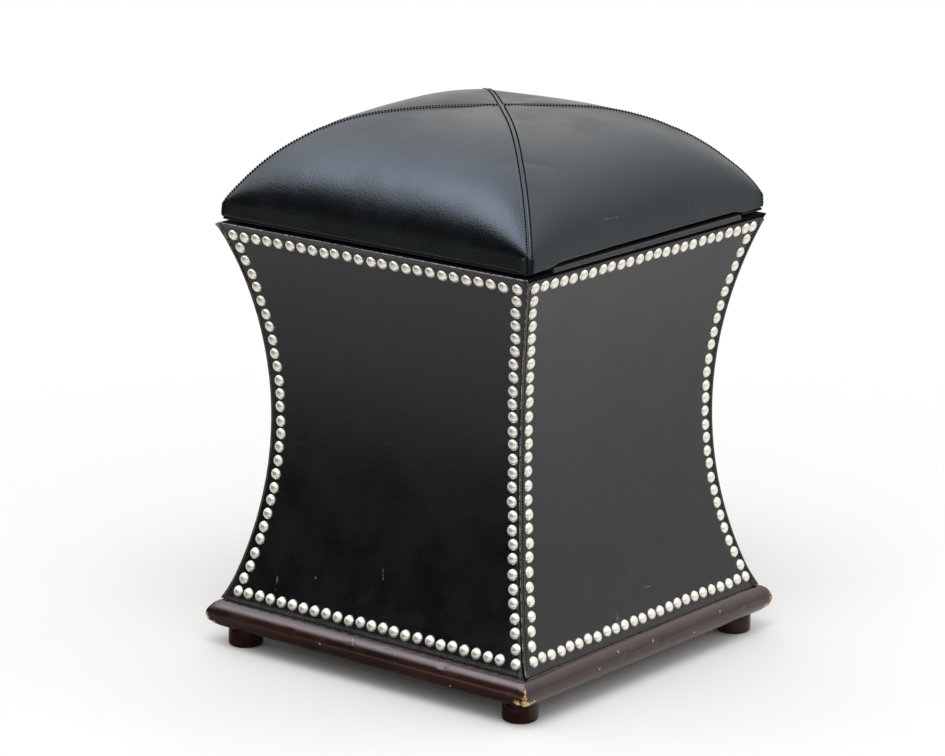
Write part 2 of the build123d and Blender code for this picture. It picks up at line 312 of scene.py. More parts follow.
def nail_seats(side):
    """Foot and outward direction of each nail, with the columns strayed as a hand sets them."""
    quarter = SIDES.index(side)
    outward = turned(np.array([1.0, 0, 0]), quarter)
    feet, directions = [], []
    for corners in islands("nails_" + side):
        middle = corners.mean(axis=0)
        axis = np.linalg.svd(corners - middle)[2][2]
        axis *= np.sign(axis @ outward)
        feet.append(middle + axis * ((corners - middle) @ axis).min())
        directions.append(axis)
    feet = turned(np.array(feet), (4 - quarter) % 4)
    half = side_out(feet[:, 2])
    for end, stray in zip((-1, 1), NAIL_STRAY[quarter % 2]):
        column = smooth_step(end * feet[:, 1], half - COLUMN_INSIDE, half - COLUMN_OUTSIDE)
        feet[:, 1] += column * np.interp(feet[:, 2], (skin_low.z, waist_level, skin_high.z), stray)
    if quarter % 2:
        row = smooth_step(feet[:, 2], skin_low.z + LOW_ROW_ABOVE, skin_low.z + LOW_ROW_BELOW)
        row = row * smooth_step(np.abs(feet[:, 1]), half - COLUMN_OUTSIDE, half - COLUMN_INSIDE)
        feet[:, 1] += LOW_ROW_STRAY * row
    return turned(feet, quarter), np.array(directions)


# Node trees


class NodeMaker:
    """Adds nodes to a tree, each with its settings and inputs in one call, and gives their outputs."""

    def __init__(self, tree):
        self.tree = tree
        tree.nodes.clear()

    def add(self, kind, inputs=None, **settings):
        node = self.tree.nodes.new(kind)
        for name, value in settings.items():
            setattr(node, name, value)
        for key, value in (inputs or {}).items():
            if isinstance(value, bpy.types.NodeSocket):
                self.tree.links.new(value, node.inputs[key])
            else:
                node.inputs[key].default_value = value
        return node

    def math(self, operation, *values):
        node = self.add("ShaderNodeMath", dict(enumerate(values)), operation=operation)
        return node.outputs[0]

    def vector(self, operation, *values):
        node = self.add("ShaderNodeVectorMath", dict(enumerate(values)), operation=operation)
        return node.outputs["Value" if operation in ("LENGTH", "DOT_PRODUCT", "DISTANCE") else "Vector"]

    def scaled(self, value, factor, offset=0.0):
        return self.math("MULTIPLY_ADD", value, factor, offset)

    def spread(self, vector, factor):
        return self.add("ShaderNodeVectorMath", {0: vector, "Scale": factor}, operation="SCALE").outputs[0]

    def step(self, value, low, high):
        inputs = {"Value": value, "From Min": low, "From Max": high}
        return self.add("ShaderNodeMapRange", inputs, interpolation_type="SMOOTHSTEP").outputs[0]

    def mix(self, share, first, second):
        node = self.add("ShaderNodeMix", {0: share, 6: first, 7: second}, data_type="RGBA")
        return node.outputs[2]

    def noise(self, vector, scale, detail=3.0, roughness=0.55):
        inputs = {"Vector": vector, "Scale": scale, "Detail": detail, "Roughness": roughness}
        return self.add("ShaderNodeTexNoise", inputs).outputs["Fac"]

    def stretched(self, vector, scale, turn=0.0):
        inputs = {"Vector": vector, "Scale": scale, "Rotation": (0, 0, turn)}
        return self.add("ShaderNodeMapping", inputs).outputs[0]

    def place(self):
        return self.add("ShaderNodeTexCoord").outputs["Object"]

    def split(self, vector):
        return self.add("ShaderNodeSeparateXYZ", {0: vector}).outputs

    def attribute(self, name):
        return self.add("ShaderNodeAttribute", attribute_name=name).outputs["Fac"]

    def group(self, tree, inputs):
        return self.add("ShaderNodeGroup", inputs, node_tree=tree).outputs


def shader_group(name, inputs, outputs, build):
    """Shader node group, made once, from a function that takes its maker and inputs."""
    tree = bpy.data.node_groups.get(name)
    if tree:
        return tree
    tree = bpy.data.node_groups.new(name, "ShaderNodeTree")
    for key, kind, value in inputs:
        socket = tree.interface.new_socket(key, in_out="INPUT", socket_type="NodeSocket" + kind)
        socket.default_value = value
    for key, kind in outputs:
        tree.interface.new_socket(key, in_out="OUTPUT", socket_type="NodeSocket" + kind)
    maker = NodeMaker(tree)
    given = maker.add("NodeGroupInput").outputs
    maker.add("NodeGroupOutput", build(maker, given))
    return tree


def leather_grain():
    """Fine pebbled grain with pores and slow changes of tone."""

    def build(maker, given):
        place = maker.place()
        cells = maker.add(
            "ShaderNodeTexVoronoi",
            {"Vector": place, "Scale": maker.math("DIVIDE", 1.0, given["Pebble"]), "Smoothness": 0.6},
            feature="SMOOTH_F1",
        ).outputs["Distance"]
        pores = maker.noise(place, maker.math("DIVIDE", 0.6, given["Pebble"]), 4.0, 0.65)
        height = maker.scaled(cells, -0.6, maker.scaled(pores, 0.7))
        return {"Height": height, "Tone": maker.noise(place, 22.0, 4.0, 0.6)}

    inputs = [("Pebble", "Float", 1.2 * MM)]
    return shader_group("leather_grain", inputs, [("Height", "Float"), ("Tone", "Float")], build)


def handling_marks():
    """Pale specks and fine broken scratches from use."""

    def build(maker, given):
        place = maker.place()
        cells = maker.add("ShaderNodeTexVoronoi", {"Vector": place, "Scale": given["Specks"]}).outputs
        chance = maker.add("ShaderNodeSeparateColor", {0: cells["Color"]}).outputs[0]
        size = maker.scaled(maker.math("POWER", chance, 7.0), 0.055, 0.0001)
        speck = maker.step(maker.math("DIVIDE", cells["Distance"], size), 1.0, 0.5)
        lines = maker.noise(maker.stretched(place, (1.0, 1.0, 0.45), 0.4), given["Scratches"], 2.0, 0.4)
        thin = maker.step(maker.math("ABSOLUTE", maker.math("SUBTRACT", lines, 0.5)), 0.0035, 0.0008)
        patch = maker.step(maker.noise(place, 9.0, 2.0), 0.60, 0.70)
        broken = maker.step(maker.noise(place, 260.0, 2.0), 0.45, 0.60)
        scratch = maker.math("MULTIPLY", maker.math("MULTIPLY", thin, patch), broken)
        return {"Speck": speck, "Scratch": scratch}

    inputs = [("Specks", "Float", 60.0), ("Scratches", "Float", 30.0)]
    return shader_group("handling_marks", inputs, [("Speck", "Float"), ("Scratch", "Float")], build)


def single_scratch():
    """Mask of one broken scratch between two points."""

    def build(maker, given):
        place = maker.place()
        run = maker.vector("SUBTRACT", given["End"], given["Start"])
        from_start = maker.vector("SUBTRACT", place, given["Start"])
        share = maker.math(
            "DIVIDE", maker.vector("DOT_PRODUCT", from_start, run), maker.vector("DOT_PRODUCT", run, run)
        )
        share = maker.add("ShaderNodeClamp", {"Value": share}).outputs[0]
        away = maker.vector("DISTANCE", from_start, maker.spread(run, share))
        line = maker.step(maker.math("DIVIDE", away, given["Width"]), 1.0, 0.2)
        broken = maker.step(maker.noise(place, 420.0, 2.0), 0.40, 0.62)
        return {"Mask": maker.math("MULTIPLY", line, broken)}

    inputs = [("Start", "Vector", (0, 0, 0)), ("End", "Vector", (0, 0, 0)), ("Width", "Float", 1.0 * MM)]
    return shader_group("single_scratch", inputs, [("Mask", "Float")], build)


def wood_grain():
    """Streaks along X with pores, as a tone and a height."""

    def build(maker, given):
        streaks = maker.noise(maker.stretched(given["Vector"], (7.0, 120.0, 120.0)), 1.0, 5.0, 0.6)
        pores = maker.noise(maker.stretched(given["Vector"], (60.0, 1400.0, 1400.0)), 1.0, 2.0)
        clouds = maker.noise(given["Vector"], 14.0, 3.0)
        tone = maker.scaled(streaks, 0.65, maker.scaled(clouds, 0.35))
        height = maker.scaled(streaks, 0.4, maker.scaled(pores, 0.4))
        return {"Tone": tone, "Height": height}

    outputs = [("Tone", "Float"), ("Height", "Float")]
    return shader_group("wood_grain", [("Vector", "Vector", (0, 0, 0))], outputs, build)


def cloth_weave():
    """Plain weave on a map in metres, as a height and a tone."""

    def build(maker, given):
        split = maker.split(given["Vector"])
        turns = maker.math("DIVIDE", math.pi, given["Thread"])
        across, along = (maker.math("SINE", maker.math("MULTIPLY", split[axis], turns)) for axis in (0, 1))
        fuzz = maker.noise(given["Vector"], 900.0, 3.0)
        height = maker.math("MULTIPLY_ADD", across, along, fuzz)
        return {"Height": height, "Tone": maker.noise(given["Vector"], 30.0, 3.0)}

    inputs = [("Vector", "Vector", (0, 0, 0)), ("Thread", "Float", 1.1 * MM)]
    return shader_group("cloth_weave", inputs, [("Height", "Float"), ("Tone", "Float")], build)


def new_material(name, colour, build, **fixed):
    """Material whose Principled shader takes plain values from fixed and links from build."""
    material = bpy.data.materials.new(name)
    material.use_nodes = True
    material.diffuse_color = colour
    maker = NodeMaker(material.node_tree)
    links = build(maker)
    plain = {key.replace("_", " "): value for key, value in fixed.items()}
    shader = maker.add("ShaderNodeBsdfPrincipled", {**plain, **links})
    maker.add("ShaderNodeOutputMaterial", {"Surface": shader.outputs[0]})
    return material


def raised(maker, height, distance, strength=1.0):
    """Normal from a height between 0 and 1 and its real depth."""
    inputs = {"Height": height, "Distance": distance, "Strength": strength}
    return maker.add("ShaderNodeBump", inputs).outputs[0]


def shaded(colour, share):
    """Opaque colour with its strength multiplied."""
    return (*(share * part for part in colour[:3]), 1.0)


# Finishes

SCUFF = (0.20, 0.205, 0.215, 1.0)
# Pale colour of rubbed edges, also painting a highlight along the sides' rolled top edges
WORN_AND_HIGHLIT_LEATHER = (0.20, 0.195, 0.19, 1.0)
RAW_EDGE = (0.16, 0.105, 0.06, 1.0)
# Painted shade that blackens the lid's corner folds
FOLD_PAINTED_SHADE = (0.0005, 0.0005, 0.0005, 1.0)
# Cool window light painted into the lid leather's reflections as a specular tint
COOL_LIGHT_TINT = (0.79, 0.93, 1.0, 1.0)
BLACK_THREAD = (0.003, 0.003, 0.0035, 1.0)
WARM_NICKEL = (0.88, 0.83, 0.74, 1.0)
TARNISH = (0.36, 0.30, 0.23, 1.0)
PALE_CHIP = (0.55, 0.44, 0.37, 1.0)
TORN_WOOD = (1.0, 0.66, 0.30, 1.0)
RUBBED_STAIN = (0.085, 0.048, 0.036, 1.0)
WARM_SHEEN = (1.0, 0.90, 0.84, 1.0)
DUST = (0.16, 0.15, 0.14, 1.0)
SEALED_BOARD = (0.016, 0.015, 0.015, 1.0)
DUST_CLOTH = (0.014, 0.014, 0.015, 1.0)
LINING_CLOTH = (0.042, 0.042, 0.046, 1.0)
# Black paint on the rim, darkened and dulled further as painted shade in the gap under the lid
RIM_BLACK_AND_GAP_SHADE = (0.004, 0.004, 0.004, 1.0)
PLYWOOD = (0.60, 0.44, 0.28, 1.0)
# Painted shade: the box's floor panel is near black, standing in for the shade under the stool
UNDERSIDE_SHADE = (0.010, 0.009, 0.008, 1.0)
FELT = (0.05, 0.05, 0.052, 1.0)
BLACK_STEEL = (0.028, 0.028, 0.030, 1.0)
# Marks that the photo shows, each from a start to an end in metres, with its width
# The first two lid marks are pale spots on the near corner's fold, partly rubbed and partly painted
# highlights on its edges
LID_SCRATCHES_AND_GLINTS = (
    ((0.1880, 0.1832, 0.4490), (0.1872, 0.1852, 0.4520), 1.4 * MM),
    ((0.1868, 0.1872, 0.4535), (0.1872, 0.1868, 0.4560), 0.9 * MM),
    ((0.1018, 0.1860, 0.4715), (0.0161, 0.1882, 0.4640), 0.5 * MM),
)
SIDE_SCRATCHES = (
    ((0.1600, -0.0830, 0.2960), (0.1596, -0.0740, 0.2920), 0.7 * MM),
    ((0.1590, -0.0580, 0.2930), (0.1588, -0.0530, 0.2850), 0.9 * MM),
    ((0.1570, -0.0500, 0.2740), (0.1572, -0.0460, 0.2690), 0.6 * MM),
    ((0.1792, -0.1278, 0.0800), (0.1807, -0.1272, 0.0753), 1.3 * MM),
    ((0.1814, -0.1286, 0.0731), (0.1832, -0.1270, 0.0677), 0.9 * MM),
    ((0.1766, -0.0800, 0.0897), (0.1768, -0.0798, 0.0877), 1.0 * MM),
    ((0.1702, 0.0009, 0.1132), (0.1729, 0.0032, 0.1022), 0.5 * MM),
    ((-0.0172, 0.1780, 0.0839), (-0.0299, 0.1785, 0.0834), 0.8 * MM),
    ((-0.0377, 0.1815, 0.0729), (-0.0377, 0.1827, 0.0690), 0.8 * MM),
    ((0.0348, 0.1819, 0.0716), (0.0337, 0.1848, 0.0628), 2.4 * MM),
)
CORNER_CHIPS = (
    ((0.2000, 0.2000, 0.0420), (0.2025, 0.2025, 0.0330), 1.6 * MM),
    ((0.2020, 0.2020, 0.0340), (0.2025, 0.2025, 0.0240), 3.4 * MM),
    ((0.2018, 0.1890, 0.0268), (0.2022, 0.2030, 0.0246), 2.2 * MM),
    ((0.1870, 0.2018, 0.0268), (0.2030, 0.2022, 0.0246), 2.2 * MM),
    ((-0.2010, 0.2012, 0.0400), (-0.2000, 0.2024, 0.0300), 3.4 * MM),
    ((-0.2000, 0.2020, 0.0290), (-0.1890, 0.2010, 0.0260), 1.2 * MM),
    ((0.2012, -0.2015, 0.0330), (0.2016, -0.2020, 0.0280), 2.4 * MM),
)
RAIL_CHIPS = (
    ((0.1969, -0.0145, 0.0445), (0.2019, -0.0103, 0.0385), 0.8 * MM),
    ((0.1997, 0.0409, 0.0420), (0.2030, 0.0437, 0.0333), 0.7 * MM),
    ((0.2030, -0.0525, 0.0331), (0.2030, -0.0515, 0.0320), 1.2 * MM),
    ((0.2006, 0.1100, 0.0252), (0.2008, 0.1108, 0.0256), 1.2 * MM),
    ((0.0545, 0.1999, 0.0422), (0.0545, 0.2004, 0.0412), 1.9 * MM),
    ((0.0878, 0.2030, 0.0330), (0.0870, 0.2030, 0.0320), 1.4 * MM),
    ((-0.0693, 0.2027, 0.0302), (-0.0660, 0.2027, 0.0302), 1.3 * MM),
    ((-0.0003, 0.2017, 0.0392), (0.0010, 0.2020, 0.0380), 1.3 * MM),
    ((-0.1139, 0.2008, 0.0405), (-0.1130, 0.2010, 0.0400), 1.2 * MM),
)


def scratches(maker, first, lines):
    """Mask of single scratches joined to another mask."""
    mask = first
    for start, end, width in lines:
        one = maker.group(single_scratch(), {"Start": start, "End": end, "Width": width})["Mask"]
        mask = maker.math("MAXIMUM", mask, one)
    return mask


def rubbed_and_highlit_edges(maker):
    """Mask of rubbed spots, some of them painted highlights, where the piece's attribute for rubbing and
    highlights is high.
    """
    spots = maker.noise(maker.place(), 190.0, 4.0, 0.65)
    return maker.step(maker.scaled(maker.attribute("wear"), 0.45, spots), 0.80, 0.95)


def lid_leather(colour):
    """Smooth black leather with reflections painted a cool tint, dull in patches, with painted shade in its
    corner folds.
    """

    def build(maker):
        grain = maker.group(leather_grain(), {"Pebble": 2.0 * MM})
        marks = maker.group(handling_marks(), {"Scratches": 16.0})
        # Scratches, with pale marks at the near corner that are partly painted highlights
        scuffs_and_glints = scratches(maker, maker.scaled(marks["Scratch"], 0.12), LID_SCRATCHES_AND_GLINTS)
        base = maker.mix(maker.step(grain["Tone"], 0.3, 0.7), shaded(colour, 0.75), shaded(colour, 1.3))
        base = maker.mix(scuffs_and_glints, base, SCUFF)
        base = maker.mix(rubbed_and_highlit_edges(maker), base, WORN_AND_HIGHLIT_LEATHER)
        dull = maker.step(maker.noise(maker.place(), 11.0, 4.0, 0.6), 0.42, 0.68)
        rough = maker.scaled(scuffs_and_glints, 0.5, maker.scaled(dull, 0.12, 0.28))
        # Painted shade darkens the lid's corner folds and dulls their sheen
        folded = maker.attribute("tuck")
        rough = maker.scaled(folded, 0.6, rough)
        base = maker.mix(folded, base, FOLD_PAINTED_SHADE)
        normal = raised(maker, grain["Height"], 0.30 * MM, 0.6)
        return {"Base Color": base, "Roughness": rough, "Normal": normal}

    # The specular tint paints the windows' cool light into the leather's reflections
    return new_material("lid_leather", colour, build, Specular_IOR_Level=0.58, Specular_Tint=COOL_LIGHT_TINT)


def side_leather(colour):
    """Black leather with specks, scratches, worn edges and brown cut ends."""

    def build(maker):
        grain = maker.group(leather_grain(), {"Pebble": 1.8 * MM})
        marks = maker.group(handling_marks(), {"Specks": 95.0, "Scratches": 24.0})
        marked = maker.math("MAXIMUM", marks["Speck"], maker.scaled(marks["Scratch"], 0.25))
        marked = scratches(maker, maker.scaled(marked, 0.6), SIDE_SCRATCHES)
        tone = maker.step(grain["Tone"], 0.3, 0.7)
        base = maker.mix(tone, shaded(colour, 0.8), shaded(colour, 1.25))
        base = maker.mix(marked, base, SCUFF)
        base = maker.mix(rubbed_and_highlit_edges(maker), base, WORN_AND_HIGHLIT_LEATHER)
        fibres = maker.step(maker.noise(maker.place(), 240.0, 3.0), 0.38, 0.62)
        base = maker.mix(maker.math("MULTIPLY", maker.attribute("raw"), fibres), base, RAW_EDGE)
        normal = raised(maker, grain["Height"], 0.30 * MM, 0.6)
        return {"Base Color": base, "Roughness": maker.scaled(tone, 0.10, 0.24), "Normal": normal}

    return new_material("side_leather", colour, build, Specular_IOR_Level=0.55)


def black_thread():
    """Dull twisted thread."""

    def build(maker):
        twist = maker.noise(maker.place(), 2600.0, 2.0)
        base = maker.mix(twist, (0.0015, 0.0015, 0.002, 1.0), (0.006, 0.006, 0.007, 1.0))
        return {"Base Color": base, "Normal": raised(maker, twist, 0.05 * MM)}

    return new_material("black_thread", BLACK_THREAD, build, Roughness=1.0, Specular_IOR_Level=0.0)


def nickel_plate(colour):
    """Polished plating, cloudy and tarnished in specks."""

    def build(maker):
        place = maker.place()
        cloud = maker.noise(place, 130.0, 3.0)
        base = maker.mix(maker.step(cloud, 0.35, 0.7), colour, WARM_NICKEL)
        tarnish = maker.step(maker.noise(place, 900.0, 3.0), 0.66, 0.78)
        base = maker.mix(maker.scaled(tarnish, 0.5), base, TARNISH)
        normal = raised(maker, cloud, 0.05 * MM, 0.3)
        return {"Base Color": base, "Roughness": maker.scaled(cloud, 0.12, 0.22), "Normal": normal}

    return new_material("nickel_plate", colour, build, Metallic=0.72)


def turned_grain(maker, turn=0.0):
    """Wood grain turned about the stool's axis."""
    return maker.group(wood_grain(), {"Vector": maker.stretched(maker.place(), (1, 1, 1), turn)})


def knocked_corners(maker, flakes):
    """Mask of the places where the base's corners have lost their stain."""
    split = maker.split(maker.vector("ABSOLUTE", maker.place()))
    out = maker.math("ADD", split[0], split[1])
    near = maker.step(out, 2 * rail_high.x - 36 * MM, 2 * rail_high.x - 6 * MM)
    low = maker.step(split[2], rail_high.z - 4 * MM, rail_low.z + 6 * MM)
    chip = maker.step(maker.scaled(maker.math("MULTIPLY", near, low), 0.42, flakes), 0.86, 0.92)
    return scratches(maker, maker.scaled(chip, 0.7), CORNER_CHIPS)


def small_chips(maker, flakes):
    """Mask of the small chips scattered over the wood."""
    cells = maker.add("ShaderNodeTexVoronoi", {"Vector": maker.place(), "Scale": 26.0}).outputs
    chance = maker.add("ShaderNodeSeparateColor", {0: cells["Color"]}).outputs[1]
    reach = maker.scaled(maker.math("POWER", chance, 5.0), 0.075)
    nick = maker.scaled(maker.scaled(flakes, 0.12, cells["Distance"]), -0.55, reach)
    return scratches(maker, maker.scaled(maker.step(nick, -0.004, 0.004), 0.6), RAIL_CHIPS)


def stained_wood(name, wood, turn, gloss=0.62, depth=1.0):
    """Dark stained and varnished wood with its grain turned along a rail, chipped at the base's corners."""

    def build(maker):
        place = maker.place()
        grain = turned_grain(maker, turn)
        streaks = maker.step(grain["Tone"], 0.32, 0.68)
        # A depth under 1 darkens the stain; on the feet this is painted shade under the base
        base = maker.mix(streaks, shaded(wood.stain_dark, depth), shaded(wood.stain, depth))
        flakes = maker.noise(place, 170.0, 5.0, 0.7)
        torn = maker.mix(maker.step(flakes, 0.40, 0.62), tuple(wood.bare), TORN_WOOD)
        corners, small = knocked_corners(maker, flakes), small_chips(maker, flakes)
        base = maker.mix(small, maker.mix(corners, base, torn), PALE_CHIP)
        chip = maker.math("MAXIMUM", corners, small)
        rub = maker.step(maker.noise(place, 34.0, 4.0), 0.48, 0.70)
        base = maker.mix(maker.scaled(rub, 0.12 * depth), base, RUBBED_STAIN)
        rough = maker.scaled(chip, 0.4, maker.scaled(rub, 0.05, 0.19))
        height = maker.math("SUBTRACT", maker.scaled(grain["Height"], 0.35), chip)
        return {"Base Color": base, "Roughness": rough, "Normal": raised(maker, height, 0.25 * MM, 0.5)}

    return new_material(name, tuple(wood.stain), build, Specular_IOR_Level=gloss, Specular_Tint=WARM_SHEEN)


def painted(name, colour, rough, turn=0.0, gloss=0.35, dusty=0.35):
    """Black paint over wood or steel, with faint streaks and rubbed specks."""

    def build(maker):
        grain = turned_grain(maker, turn)
        dust = maker.step(maker.noise(maker.place(), 340.0, 4.0), 0.66, 0.78)
        base = maker.mix(grain["Tone"], shaded(colour, 0.6), colour)
        base = maker.mix(maker.scaled(dust, dusty), base, DUST)
        level = maker.scaled(grain["Tone"], 0.16, rough)
        normal = raised(maker, grain["Height"], 0.08 * MM, 0.5)
        return {"Base Color": base, "Roughness": level, "Normal": normal}

    return new_material(name, colour, build, Specular_IOR_Level=gloss)


def woven(name, colour, map_name=None):
    """Black lining cloth; its threads follow the piece's own map, or the object's place."""

    def build(maker):
        if map_name:
            vector = maker.add("ShaderNodeUVMap", uv_map=map_name).outputs[0]
        else:
            vector = maker.place()
        weave = maker.group(cloth_weave(), {"Vector": vector, "Thread": 1.2 * MM})
        base = maker.mix(weave["Tone"], shaded(colour, 0.6), shaded(colour, 1.5))
        height = maker.step(weave["Height"], -1.0, 2.0)
        # The weave's low places are darkened: painted shade between the threads
        base = maker.mix(height, shaded(colour, 0.4), base)
        return {"Base Color": base, "Normal": raised(maker, height, 0.35 * MM, 0.8)}

    return new_material(name, colour, build, Roughness=0.9, Specular_IOR_Level=0.2)


def raw_board(name, colour):
    """Plain streaked plywood, for the pieces inside."""

    def build(maker):
        grain = turned_grain(maker)
        base = maker.mix(grain["Tone"], shaded(colour, 0.7), colour)
        return {"Base Color": base, "Normal": raised(maker, grain["Height"], 0.2 * MM, 0.5)}

    return new_material(name, colour, build, Roughness=0.7)


def felted(name, colour):
    """Matted fibres."""

    def build(maker):
        fibres = maker.noise(maker.place(), 700.0, 5.0, 0.7)
        base = maker.mix(fibres, shaded(colour, 0.5), shaded(colour, 1.6))
        return {"Base Color": base, "Normal": raised(maker, fibres, 0.4 * MM, 0.8)}

    return new_material(name, colour, build, Roughness=0.95, Specular_IOR_Level=0.1)


def finish_node(node, material):
    """Gives a CAD node that stays in view its own finish."""
    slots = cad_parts[node].data.materials
    slots.clear()
    slots.append(material)


# Node trees that grow repeated pieces


def growth_tree(name, inputs):
    """Geometry node tree with a mesh in and out and named inputs."""
    tree = bpy.data.node_groups.new(name, "GeometryNodeTree")
    tree.interface.new_socket("Geometry", in_out="INPUT", socket_type="NodeSocketGeometry")
    for key, kind in inputs:
        tree.interface.new_socket(key, in_out="INPUT", socket_type="NodeSocket" + kind)
    tree.interface.new_socket("Geometry", in_out="OUTPUT", socket_type="NodeSocketGeometry")
    maker = NodeMaker(tree)
    return tree, maker, maker.add("NodeGroupInput").outputs


def close_tree(maker, instances, material):
    """Ends a tree with plain smooth geometry in one material."""
    plain = maker.add("GeometryNodeRealizeInstances", {0: instances}).outputs[0]
    smooth = maker.add("GeometryNodeSetShadeSmooth", {0: plain}).outputs[0]
    done = maker.add("GeometryNodeSetMaterial", {0: smooth, "Material": material}).outputs[0]
    maker.add("NodeGroupOutput", {0: done})


def stitch_tree():
    """Stitches at an even pitch along lines."""
    tree = bpy.data.node_groups.get("stitches")
    if tree:
        return tree
    inputs = [("Pitch", "Float"), ("Length", "Float"), ("Thread", "Float"), ("Material", "Material")]
    tree, maker, given = growth_tree("stitches", inputs)
    curve = maker.add("GeometryNodeMeshToCurve", {0: given["Geometry"]}).outputs[0]
    even = maker.add("GeometryNodeResampleCurve", {"Curve": curve, "Length": given["Pitch"]}, mode="LENGTH")
    tangent = maker.add("GeometryNodeInputTangent").outputs[0]
    turn = maker.add("FunctionNodeAlignRotationToVector", {"Vector": tangent}, axis="X").outputs[0]
    capsule = maker.add("GeometryNodeMeshUVSphere", {"Segments": 6, "Rings": 5, "Radius": 0.5}).outputs[0]
    size = {0: given["Length"], 1: given["Thread"], 2: given["Thread"]}
    scale = maker.add("ShaderNodeCombineXYZ", size).outputs[0]
    placed = maker.add(
        "GeometryNodeInstanceOnPoints",
        {"Points": even.outputs[0], "Instance": capsule, "Rotation": turn, "Scale": scale},
    )
    close_tree(maker, placed.outputs[0], given["Material"])
    return tree


def head_tree():
    """Nail or screw heads on points, turned to the points' outward attribute and a little uneven."""
    tree = bpy.data.node_groups.get("heads")
    if tree:
        return tree
    inputs = [("Head", "Object"), ("Wander", "Float"), ("Tilt", "Float"), ("Seed", "Int")]
    inputs.append(("Material", "Material"))
    tree, maker, given = growth_tree("heads", inputs)
    named = {"Name": "outward"}
    outward = maker.add("GeometryNodeInputNamedAttribute", named, data_type="FLOAT_VECTOR").outputs[0]
    limits = {0: (-1, -1, -1), 1: (1, 1, 1), "Seed": given["Seed"]}
    stray = maker.add("FunctionNodeRandomValue", limits, data_type="FLOAT_VECTOR").outputs[0]
    offset = maker.spread(maker.vector("CROSS_PRODUCT", outward, stray), given["Wander"])
    points = {"Geometry": given["Geometry"], "Offset": offset}
    moved = maker.add("GeometryNodeSetPosition", points).outputs[0]
    upright = maker.add("FunctionNodeAlignRotationToVector", {"Vector": outward}, axis="Z").outputs[0]
    lean = maker.add("FunctionNodeEulerToRotation", {0: maker.spread(stray, given["Tilt"])}).outputs[0]
    turn = maker.add("FunctionNodeRotateRotation", {0: upright, 1: lean}, rotation_space="LOCAL").outputs[0]
    head = maker.add("GeometryNodeObjectInfo", {"Object": given["Head"]}).outputs["Geometry"]
    placed = maker.add("GeometryNodeInstanceOnPoints", {"Points": moved, "Instance": head, "Rotation": turn})
    close_tree(maker, placed.outputs[0], given["Material"])
    return tree


def grow(name, carrier, tree, values):
    """Object with the plain mesh that a tree grows on a carrier mesh."""
    piece = link(name, carrier)
    modifier = piece.modifiers.new("growth", "NODES")
    modifier.node_group = tree
    for item in tree.interface.items_tree:
        if item.in_out == "INPUT" and item.name in values:
            modifier[item.identifier] = values[item.name]
    bpy.context.view_layer.update()
    evaluated = piece.evaluated_get(bpy.context.evaluated_depsgraph_get())
    mesh = bpy.data.meshes.new_from_object(evaluated)
    piece.modifiers.clear()
    piece.data = mesh
    mesh.name = name
    bpy.data.meshes.remove(carrier)
    if not mesh.polygons:
        raise RuntimeError(f"{name}: the node tree made nothing")
    return piece


def sew(name, lines, settings, thread):
    """Stitches along open lines, as one plain mesh."""
    points, edges = [], []
    for line in lines:
        first = len(points)
        points += line.tolist()
        edges += [(first + step, first + step + 1) for step in range(len(line) - 1)]
    mesh = bpy.data.meshes.new(name + "_lines")
    mesh.from_pydata(points, edges, [])
    values = {
        "Pitch": settings.stitch_pitch, "Length": settings.stitch_length, "Thread": settings.thread,
        "Material": thread,
    }
    return grow(name, mesh, stitch_tree(), values)


def seat_mesh(name, places, directions):
    """Mesh of single points that carry an outward direction."""
    mesh = bpy.data.meshes.new(name)
    mesh.from_pydata(places.tolist(), [], [])
    layer = mesh.attributes.new("outward", "FLOAT_VECTOR", "POINT")
    layer.data.foreach_set("vector", directions.astype(np.float32).ravel())
    return mesh


def grow_heads(name, head, places, directions, **values):
    """Heads on their seats, as one plain mesh; the pattern head is removed afterwards."""
    pattern = link(name + "_pattern", head)
    seats = seat_mesh(name + "_seats", places, directions)
    piece = grow(name, seats, head_tree(), {"Head": pattern, **values})
    bpy.data.objects.remove(pattern)
    bpy.data.meshes.remove(head)
    return piece


# Lid

GORE_ROWS = 120
GORE_COLUMNS = 96
GORE_CROWDING = 1.8
CLOTH_ROWS = 26
CLOTH_COLUMNS = 30
LEATHER_STIFFNESS = 30
BENDING_STIFFNESS = 4
EDGE_ROWS = 8
EDGE_RADIUS = 1.8 * MM
LEATHER_RETURN = 15.0 * MM
STITCH_LIFT = 0.35 * MM
SEAM_TURNING = 0.22 * MM  # rise of the turnings under a seam
SEAM_GROOVE = 0.45 * MM
SEAM_FURROW = 0.35 * MM  # depth of the line that a row of stitches presses in
SEAM_REACH = 3 * MM  # how far from a seam the leather leans with it
CREASE_DEPTH = 0.75 * MM
CREASE_FROM_TIP = 98 * MM
CREASE_WIDTH = 5 * MM
COVER_RIPPLE = 0.35 * MM
COVER_FINE_RIPPLE = 0.12 * MM
# For the lid's corners back right, back left, front left and front right
CORNER_CREASES = (1.0, 0.45, 0.7, 0.5)
CORNER_EARS = (0.2 * MM, 1.2 * MM, 0.6 * MM, 1.0 * MM)
CORNER_HIPS = (-0.6 * MM, -2.6 * MM, 0.0, 2.4 * MM)  # rise of the seams on their way to the corners
CORNER_TUCKS = (3.0 * MM, 0.6 * MM, 0.6 * MM, 0.0)  # depth of the folded gap in the leather's edge
CORNER_DROOPS = (1.2 * MM, -1.5 * MM, 0.4 * MM, -1.2 * MM)
GORE_FILL = (0.0, 0.0, 0.4 * MM, 6.0 * MM)  # extra stuffing under the gores right, back, left and front
CORNER_PULL = 3.2 * MM  # how far the cover is drawn at the near corner towards the hinge's side
COVER_SWAY = np.array((-3.5 * MM, 4.3 * MM))  # how far off the lid's middle the seams cross
lid_half = gore_high.x
board_half = board_high.x


